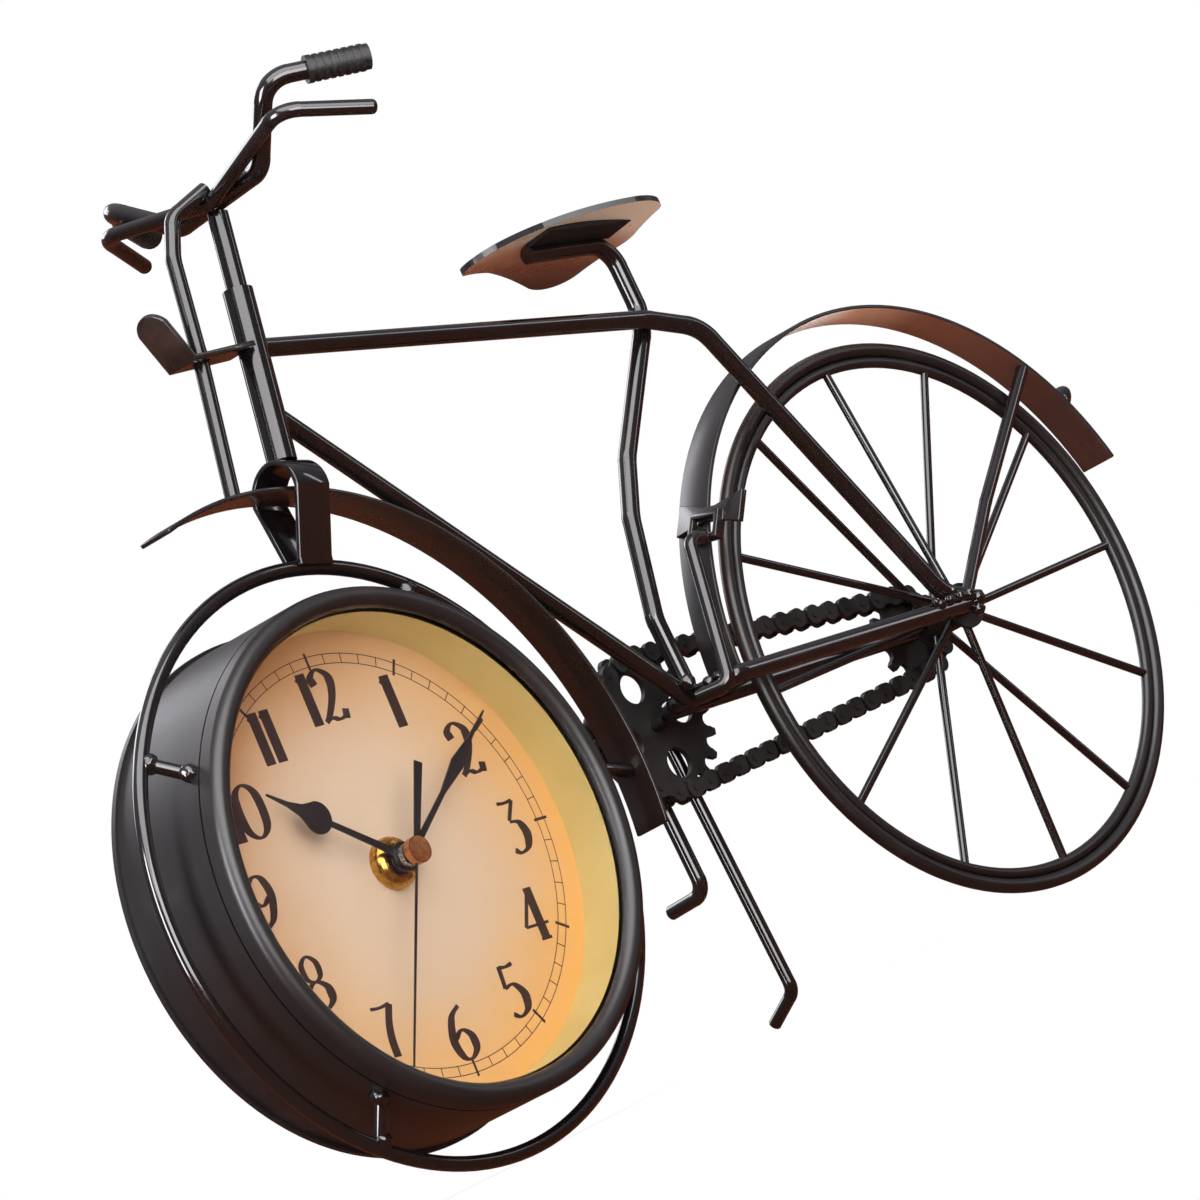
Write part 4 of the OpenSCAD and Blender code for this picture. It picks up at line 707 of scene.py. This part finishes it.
track = bmesh.new()
printed_circle(track, TRACK_INNER)
printed_circle(track, TRACK_OUTER)
for minute in range(60):
    if minute % 5:
        printed_tick(track, minute, TRACK_INNER, TRACK_OUTER, TICK_WIDTH)
    else:
        printed_tick(track, minute, TRACK_INNER - HOUR_TICK_INWARD, TRACK_OUTER + HOUR_TICK_OUTWARD,
                     HOUR_TICK_WIDTH)
track_piece = finish_piece("dial_track", track, ink, "frame")
print("track faces", len(track_piece.data.polygons))

# %% [markdown]
# ## The numerals
# The numerals are drawn as if with a broad pen that is held level: a stroke is thick where it runs up and
# down and thin where it runs across. A typeface could give them too, but not this hand-drawn kind. So each
# numeral needs only its centre line, as a few curves through a few points, and the pen's rule gives the
# width.

# %% The pen
PEN_THICK = 0.205
PEN_THIN = 0.055
PEN_SHARPNESS = 2.2


# A curve through all the points, made of short straight steps: between two points it is a cubic whose slopes
# come from the points on both sides
def smooth_line(points, closed=False, steps=9):
    line = []
    count = len(points)
    spans = count if closed else count - 1
    for i in range(spans):
        if closed:
            p0, p1, p2, p3 = (Vector(points[(i + k) % count]) for k in (-1, 0, 1, 2))
        else:
            p0, p1, p2, p3 = (Vector(points[min(max(i + k, 0), count - 1)]) for k in (-1, 0, 1, 2))
        for step in range(steps):
            t = step / steps
            line.append(0.5 * ((2 * p1) + (p2 - p0) * t + (2 * p0 - 5 * p1 + 4 * p2 - p3) * t * t
                               + (3 * p1 - p0 - 3 * p2 + p3) * t * t * t))
    line.append(Vector(points[0] if closed else points[-1]))
    return line


def pen_width(direction, weight):
    steep = abs(direction.normalized().y)
    return PEN_THIN + (PEN_THICK * weight - PEN_THIN) * steep ** PEN_SHARPNESS


def pen_stroke(target, place, height, lift, points, weight, closed=False, straight=False):
    line = [Vector(p) for p in points] if straight else smooth_line(points, closed)
    left = []
    right = []
    for i, point in enumerate(line):
        direction = line[min(i + 1, len(line) - 1)] - line[max(i - 1, 0)]
        if closed and i in (0, len(line) - 1):
            direction = line[1] - line[-2]
        side = Vector((-direction.y, direction.x)).normalized() * pen_width(direction, weight) / 2
        left.append(place + (point + side) * height)
        right.append(place + (point - side) * height)
    printed_band(target, left, right, lift)


print("pen from", PEN_THIN, "to", PEN_THICK, "of a numeral's height")

# %% [markdown]
# Each numeral stands in a box one unit high. It is written down as its width and its strokes, whose points
# are measured from the box's lower left corner: a curve, a loop that closes on itself, or a straight bar.
# The weight makes a stroke heavier or lighter than the pen would by itself.

# %% The ten numerals
def curve(*points, weight=1.0):
    return {"points": points, "weight": weight}


def loop(*points, weight=1.0):
    return {"points": points, "weight": weight, "closed": True}


def bar(*points, weight=1.0):
    return {"points": points, "weight": weight, "straight": True}


NUMERALS = {
    "0": (0.66, [
        loop((0.31, 0.0), (0.06, 0.22), (0.06, 0.78), (0.31, 1.0), (0.56, 0.78), (0.56, 0.22)),
    ]),
    "1": (0.30, [
        bar((0.15, 1.0), (0.15, 0.0), weight=1.15),
        bar((0.02, 0.86), (0.15, 0.97), weight=0.8),
    ]),
    "2": (0.62, [
        curve((0.10, 0.72), (0.08, 0.88), (0.26, 1.0), (0.46, 0.88), (0.50, 0.70), (0.40, 0.44),
              (0.20, 0.16), (0.05, 0.02)),
        curve((0.05, 0.03), (0.22, 0.07), (0.40, 0.02), (0.58, 0.06), weight=2.2),
        bar((0.56, 0.0), (0.60, 0.18), weight=0.8),
    ]),
    "3": (0.56, [
        curve((0.06, 0.98), (0.24, 0.96), (0.44, 0.98), weight=4.0),
        bar((0.44, 0.98), (0.20, 0.62), weight=0.5),
        curve((0.20, 0.60), (0.40, 0.55), (0.50, 0.32), (0.40, 0.08), (0.20, 0.0), (0.06, 0.08)),
    ]),
    "4": (0.62, [
        bar((0.40, 1.0), (0.40, 0.0)),
        bar((0.40, 0.98), (0.02, 0.30), weight=0.45),
        bar((0.02, 0.30), (0.60, 0.30)),
        bar((0.28, 0.02), (0.54, 0.02)),
    ]),
    "5": (0.56, [
        curve((0.14, 0.96), (0.30, 0.94), (0.48, 0.97), weight=4.0),
        bar((0.14, 0.98), (0.10, 0.56), weight=0.5),
        curve((0.10, 0.56), (0.32, 0.60), (0.50, 0.38), (0.44, 0.12), (0.22, 0.0), (0.05, 0.08)),
    ]),
    "6": (0.60, [
        curve((0.48, 0.98), (0.22, 0.80), (0.06, 0.40), (0.14, 0.08), (0.32, 0.0), (0.52, 0.16), (0.52, 0.40),
              (0.34, 0.54), (0.14, 0.42), weight=0.95),
    ]),
    "7": (0.54, [
        curve((0.04, 0.95), (0.26, 0.93), (0.52, 0.96), weight=4.0),
        curve((0.52, 0.96), (0.34, 0.60), (0.26, 0.30), (0.24, 0.0), weight=0.9),
    ]),
    "8": (0.60, [
        loop((0.29, 0.52), (0.12, 0.62), (0.11, 0.86), (0.29, 1.0), (0.47, 0.86), (0.46, 0.62), weight=0.7),
        loop((0.29, 0.0), (0.06, 0.14), (0.06, 0.38), (0.29, 0.52), (0.52, 0.38), (0.52, 0.14)),
    ]),
    "9": (0.60, [
        curve((0.12, 0.02), (0.38, 0.20), (0.54, 0.60), (0.46, 0.92), (0.28, 1.0), (0.08, 0.84), (0.08, 0.60),
              (0.26, 0.46), (0.46, 0.58), weight=0.95),
    ]),
}
print("numerals", len(NUMERALS), "strokes", sum(len(strokes) for width, strokes in NUMERALS.values()))

# %% [markdown]
# The twelve hours stand upright on the dial, with their middles on a circle. Each stroke of a numeral lies
# a little higher than the one before, again so that no faces lie in one plane.

# %% The hours
NUMERAL_HEIGHT = 14.2 * MM
NUMERAL_CIRCLE = 46.2 * MM
STROKE_LIFT = 0.004 * MM

numerals = bmesh.new()
for hour in range(1, 13):
    digits = str(hour)
    width = sum(NUMERALS[digit][0] for digit in digits)
    angle = 2 * math.pi * hour / 12
    start = Vector((math.sin(angle), math.cos(angle))) * NUMERAL_CIRCLE
    start -= Vector((width, 1.0)) * NUMERAL_HEIGHT / 2
    for digit in digits:
        advance, strokes = NUMERALS[digit]
        for layer, stroke in enumerate(strokes):
            pen_stroke(numerals, start, NUMERAL_HEIGHT, layer * STROKE_LIFT, **stroke)
        start += Vector((advance * NUMERAL_HEIGHT, 0.0))
numeral_piece = finish_piece("dial_numerals", numerals, ink, "frame")
print("numeral faces", len(numeral_piece.data.polygons))

# %% [markdown]
# ## The stack in the middle of the dial
# Under the copper cap of the second hand there is a bright steel collar between the two black hubs. The
# minute arbor of the model is one brass piece, so a thin steel sleeve is put round its collar, and the cap
# gets a turned copper shell with a rounded edge. Both are profiles spun about the dial's axis.

# %% Steel sleeve and copper cap
SLEEVE_INSIDE = 2.98 * MM
SLEEVE_OUTSIDE = 3.12 * MM
SLEEVE_FRONT = 4.5 * MM
CAP_RADIUS = 3.64 * MM
CAP_ROUND = 0.35 * MM
CAP_ROUND_STEPS = 5
CAP_DEPTH = 2.3 * MM
CAP_WALL = 0.14 * MM
CAP_PROUD = 0.05 * MM

sleeve_back = -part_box("minute_hand")[1][1]
sleeve = bmesh.new()
turned(sleeve, [(SLEEVE_INSIDE, SLEEVE_FRONT), (SLEEVE_OUTSIDE, SLEEVE_FRONT), (SLEEVE_OUTSIDE, sleeve_back),
                (SLEEVE_INSIDE, sleeve_back)], closed=True)
sleeve_piece = finish_piece("steel_sleeve", sleeve, steel, "minutes")

cap_front = -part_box("second_hand")[0][1] + CAP_PROUD
cap_back = cap_front - CAP_DEPTH
cap = bmesh.new()
cap_profile = [(CAP_RADIUS - CAP_WALL, cap_back), (CAP_RADIUS, cap_back)]
for i in range(CAP_ROUND_STEPS + 1):
    angle = math.radians(90 * i / CAP_ROUND_STEPS)
    inward = CAP_ROUND * (1 - math.cos(angle))
    backward = CAP_ROUND * (1 - math.sin(angle))
    cap_profile.append((CAP_RADIUS - inward, cap_front - backward))
cap_profile.append((0.0, cap_front))
turned(cap, cap_profile, closed=False)
cap_piece = finish_piece("copper_cap", cap, copper, "seconds")
print("cap front at", round(cap_front, 5), "sleeve back at", round(sleeve_back, 5))

# %% [markdown]
# ## Weld beads
# Where rods meet there is a bead of weld under the paint: a lump with ripples, which shows because its
# small round top mirrors light from all sides. Each bead starts as an icosphere whose points are pushed in
# and out by noise. There are beads where the four pins meet the ring and where two of them meet the drum, in
# a row at the near end of the rear axle, and where the lower rods of the frame come together.

# %% Weld beads
BEAD_NOISE_SCALE = 1.6
BEAD_RIPPLE = 0.16
BEAD_FINE_RIPPLE = 0.05
BEAD_FINE_SCALE = 3.7
BEAD_SEED = Vector((0.0, 3.1, 1.7))
BEAD_SEED_STEP = Vector((7.3, 0.0, 0.0))

# In mm: the radius, the Y and the size of the beads at the pins, and in degrees where they are on the ring
PIN_END_RADIUS = 78.2
PIN_END_Y = -0.8
PIN_END_SIZE = 2.6
PIN_END_ANGLES = (-52, -142, 38, 128)
PIN_FOOT_RADIUS = 70.0
PIN_FOOT_Y = -6.6
PIN_FOOT_SIZE = 2.4
PIN_FOOT_ANGLES = (-53.5, -137)

# In mm: how far back from the hub's centre (less than 0 is ahead of it), the Y, how far up, and the size
HUB_BEADS = (
    (-15.0, -14.2, 2.6, 1.5), (-16.4, -14.2, 3.8, 1.1), (-11.2, -14.6, 2.8, 1.5), (-7.2, -14.8, 2.6, 1.5),
    (-3.2, -14.6, 1.9, 1.7), (-7.6, -13.6, 4.9, 1.3), (-0.6, -13.8, 0.2, 2.4), (-1.6, -13.6, -2.6, 1.9),
)
# In mm: the place and the size
FRAME_BEADS = (
    ((122.8, -3.6, 91.8), 2.2), ((126.0, -7.4, 89.4), 1.7), ((128.0, -9.6, 89.6), 1.5),
)


def ring_point(radius, degrees, y):
    angle = math.radians(degrees)
    return (radius * math.sin(angle), y, ring_centre.z / MM + radius * math.cos(angle))


def weld_bead(target, index, place, size):
    radius = size * MM
    made = bmesh.ops.create_icosphere(target, subdivisions=4, radius=radius)
    for vert in made["verts"]:
        seed = vert.co / radius * BEAD_NOISE_SCALE + BEAD_SEED + BEAD_SEED_STEP * index
        ripple = BEAD_RIPPLE * noise.noise(seed) + BEAD_FINE_RIPPLE * noise.noise(seed * BEAD_FINE_SCALE)
        vert.co = vert.co * (1.0 + ripple) + Vector(place) * MM


hub_x, hub_z = hub_centre.x / MM, hub_centre.z / MM
places = [(ring_point(PIN_END_RADIUS, angle, PIN_END_Y), PIN_END_SIZE) for angle in PIN_END_ANGLES]
places += [(ring_point(PIN_FOOT_RADIUS, angle, PIN_FOOT_Y), PIN_FOOT_SIZE) for angle in PIN_FOOT_ANGLES]
places += [((hub_x + back, y, hub_z + up), size) for back, y, up, size in HUB_BEADS]
places += FRAME_BEADS
lumps = bmesh.new()
for index, (place, size) in enumerate(places):
    weld_bead(lumps, index, place, size)
beads = finish_piece("weld_beads", lumps, black_iron, "frame", sharp_at=80)
print("beads", len(places), "faces", len(beads.data.polygons))

# %% [markdown]
# ## Floor
# The clock stands on plain white. The floor is pale near the clock, where it takes a soft shadow, and turns
# to pure white further out, so that it has no edge. The underside of the glossy rods mirrors a warm brown,
# as if the clock stood on a wooden table. So the floor has three answers: matt white paint for the light
# that it passes on, warm brown for mirrored rays, and mostly white for the camera.

# %% Floor
WARM_TABLE = linear(176, 98, 66)
WARM_STRENGTH = 0.42
WHITE = (1.0, 1.0, 1.0, 1.0)
PAPER_WHITE = (0.95, 0.95, 0.95, 1.0)
FLOOR_HALF_SIZE = 1.2
FLOOR_GAP = 0.05 * MM
# How white the floor is to the camera near the clock, and where that starts to change and is pure white
NEAR_WHITE = 0.8
FLOOR_MIDDLE = (0.12, 0.0, 0.0)
FADE_START = 0.22
FADE_END = 0.55


def make_floor_material():
    material, tree = new_material("floor")
    link = tree.links.new
    out = add(tree, "ShaderNodeOutputMaterial")
    matt = add(tree, "ShaderNodeBsdfDiffuse", in_Color=PAPER_WHITE)
    warm = add(tree, "ShaderNodeEmission", in_Color=WARM_TABLE, in_Strength=WARM_STRENGTH)
    white = add(tree, "ShaderNodeEmission", in_Color=WHITE, in_Strength=1.0)
    ray = add(tree, "ShaderNodeLightPath")
    lit = add(tree, "ShaderNodeMixShader")
    link(ray.outputs["Is Glossy Ray"], lit.inputs[0])
    link(matt.outputs[0], lit.inputs[1])
    link(warm.outputs[0], lit.inputs[2])

    centred = add(tree, "ShaderNodeVectorMath", operation="SUBTRACT", in_1=FLOOR_MIDDLE)
    size = add(tree, "ShaderNodeVectorMath", operation="LENGTH")
    link(object_place(tree), centred.inputs[0])
    link(centred.outputs[0], size.inputs[0])
    whiteness = remap(tree, size.outputs["Value"], FADE_START, FADE_END, NEAR_WHITE, 1.0,
                      interpolation_type="SMOOTHSTEP")

    seen_white = add(tree, "ShaderNodeMath", operation="MULTIPLY")
    whole = add(tree, "ShaderNodeMixShader")
    link(whiteness, seen_white.inputs[0])
    link(ray.outputs["Is Camera Ray"], seen_white.inputs[1])
    link(seen_white.outputs[0], whole.inputs[0])
    link(lit.outputs[0], whole.inputs[1])
    link(white.outputs[0], whole.inputs[2])
    link(whole.outputs[0], out.inputs["Surface"])
    return material


plate = bmesh.new()
corners = bmesh.ops.create_grid(plate, x_segments=1, y_segments=1, size=FLOOR_HALF_SIZE)["verts"]
bmesh.ops.translate(plate, vec=(0.0, 0.0, -FLOOR_GAP), verts=corners)
floor_mesh = bpy.data.meshes.new("floor")
plate.to_mesh(floor_mesh)
plate.free()
floor_mesh.materials.append(make_floor_material())
floor = bpy.data.objects.new("floor", floor_mesh)
bpy.context.scene.collection.objects.link(floor)
floor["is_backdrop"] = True
print("floor", floor.dimensions.x, "m wide")

# %% [markdown]
# ## World
# The world is white to the camera. To the object it is dim: the warm brown of the table below the horizon,
# a dark grey above it, and a brighter zenith that draws a soft line along the top of every rod.

# %% World
HORIZON_GREY = (0.10, 0.09, 0.10, 1.0)
MIDDLE_GREY = (0.2, 0.19, 0.21, 1.0)
ZENITH_GREY = (0.55, 0.53, 0.57, 1.0)


def make_world():
    world = bpy.data.worlds.new("studio")
    bpy.context.scene.world = world
    world.use_nodes = True
    sky = world.node_tree
    sky.nodes.clear()
    link = sky.links.new
    direction = add(sky, "ShaderNodeTexCoord")
    parts = add(sky, "ShaderNodeSeparateXYZ")
    warm = tuple(channel * WARM_STRENGTH for channel in WARM_TABLE[:3]) + (1.0,)
    bands = ramp(sky, [
        (0.0, warm),
        (0.47, warm),
        (0.53, HORIZON_GREY),
        (0.75, MIDDLE_GREY),
        (1.0, ZENITH_GREY),
    ])
    dim = add(sky, "ShaderNodeBackground")
    link(direction.outputs["Generated"], parts.inputs[0])
    link(remap(sky, parts.outputs["Z"], -1.0, 1.0), bands.inputs["Fac"])
    link(bands.outputs["Color"], dim.inputs["Color"])

    camera_white = add(sky, "ShaderNodeBackground", in_Color=WHITE, in_Strength=1.0)
    ray = add(sky, "ShaderNodeLightPath")
    choose = add(sky, "ShaderNodeMixShader")
    out = add(sky, "ShaderNodeOutputWorld")
    link(ray.outputs["Is Camera Ray"], choose.inputs[0])
    link(dim.outputs[0], choose.inputs[1])
    link(camera_white.outputs[0], choose.inputs[2])
    link(choose.outputs[0], out.inputs["Surface"])


make_world()
print("world", bpy.context.scene.world.name)

# %% [markdown]
# ## Lamps
# Five soft lamps light the clock. The large one overhead and the one in front, both on the dial's side, do
# most of the work: they light the dial and draw the broad lines along the rods. A tall narrow one at the
# left gives the drum's side its sheen and the upright rods their edge, a weak strip at the right answers
# it, and one behind keeps the far side from going black. Each lamp is aimed at the middle of the clock.

# %% Lamps
AIM = Vector((0.12, 0.0, 0.13))


def area_lamp(name, place, width, height, watts, colour=(1.0, 1.0, 1.0)):
    lamp = bpy.data.lights.new(name, "AREA")
    lamp.shape = "RECTANGLE"
    lamp.size = width
    lamp.size_y = height
    lamp.energy = watts
    lamp.color = colour
    holder = bpy.data.objects.new(name, lamp)
    bpy.context.scene.collection.objects.link(holder)
    holder.location = place
    holder.rotation_euler = (AIM - Vector(place)).to_track_quat("-Z", "Y").to_euler()


area_lamp("overhead", (-0.35, -0.75, 1.0), width=1.5, height=1.2, watts=24.0, colour=(1.0, 0.985, 1.0))
area_lamp("left window", (-1.25, 0.05, 0.45), width=0.4, height=0.9, watts=19.0, colour=(0.97, 0.94, 1.0))
area_lamp("front fill", (-0.75, -1.5, 0.3), width=1.1, height=0.9, watts=24.0)
area_lamp("right strip", (1.3, -0.9, 0.5), width=0.12, height=0.9, watts=1.2, colour=(0.97, 0.95, 1.0))
area_lamp("back", (0.3, 1.3, 0.9), width=0.9, height=0.6, watts=6.0, colour=(0.96, 0.95, 1.0))
print("lamps", [lamp.name for lamp in bpy.data.lights])

# %% [markdown]
# ## Camera
# The camera looks from the dial's side, nearly at floor level and from far away with a long lens, and it is
# rolled about 27 degrees, which makes the clock seem to lean. Its place and its turn were fitted to the
# photograph. The turn is a vector whose direction is the axis and whose length is the angle. It takes the
# world to the camera, and its rows are the camera's right, down and forward.

# %% Camera
CAMERA_PLACE = Vector((-1.77707, -1.79843, 0.01101))
TURN = Vector((1.231974, -0.915249, 0.272077))
SENSOR_WIDTH = 36.0
FOCAL_LENGTH = 300.0
NEAREST = 0.05
FARTHEST = 20.0

camera_data = bpy.data.cameras.new("camera")
camera_data.sensor_width = SENSOR_WIDTH
camera_data.lens = FOCAL_LENGTH
camera_data.clip_start = NEAREST
camera_data.clip_end = FARTHEST
camera = bpy.data.objects.new("camera", camera_data)
bpy.context.scene.collection.objects.link(camera)
right, down, ahead = Matrix.Rotation(TURN.length, 3, TURN.normalized())
axes = Matrix((right, -down, -ahead)).transposed().to_4x4()
camera.matrix_world = Matrix.Translation(CAMERA_PLACE) @ axes
bpy.context.scene.camera = camera
bpy.context.scene.view_settings.view_transform = "Standard"
print("camera at", [round(v, 4) for v in camera.location])

# %% [markdown]
# ## Last steps
# The box of the whole object is measured again and printed, like the one at the start. The added pieces
# have to stay inside the construction model's own box.

# %% Measure and finish
box_at_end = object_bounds()
for corner in box_at_end:
    print("box corner", [round(v, 4) for v in corner])
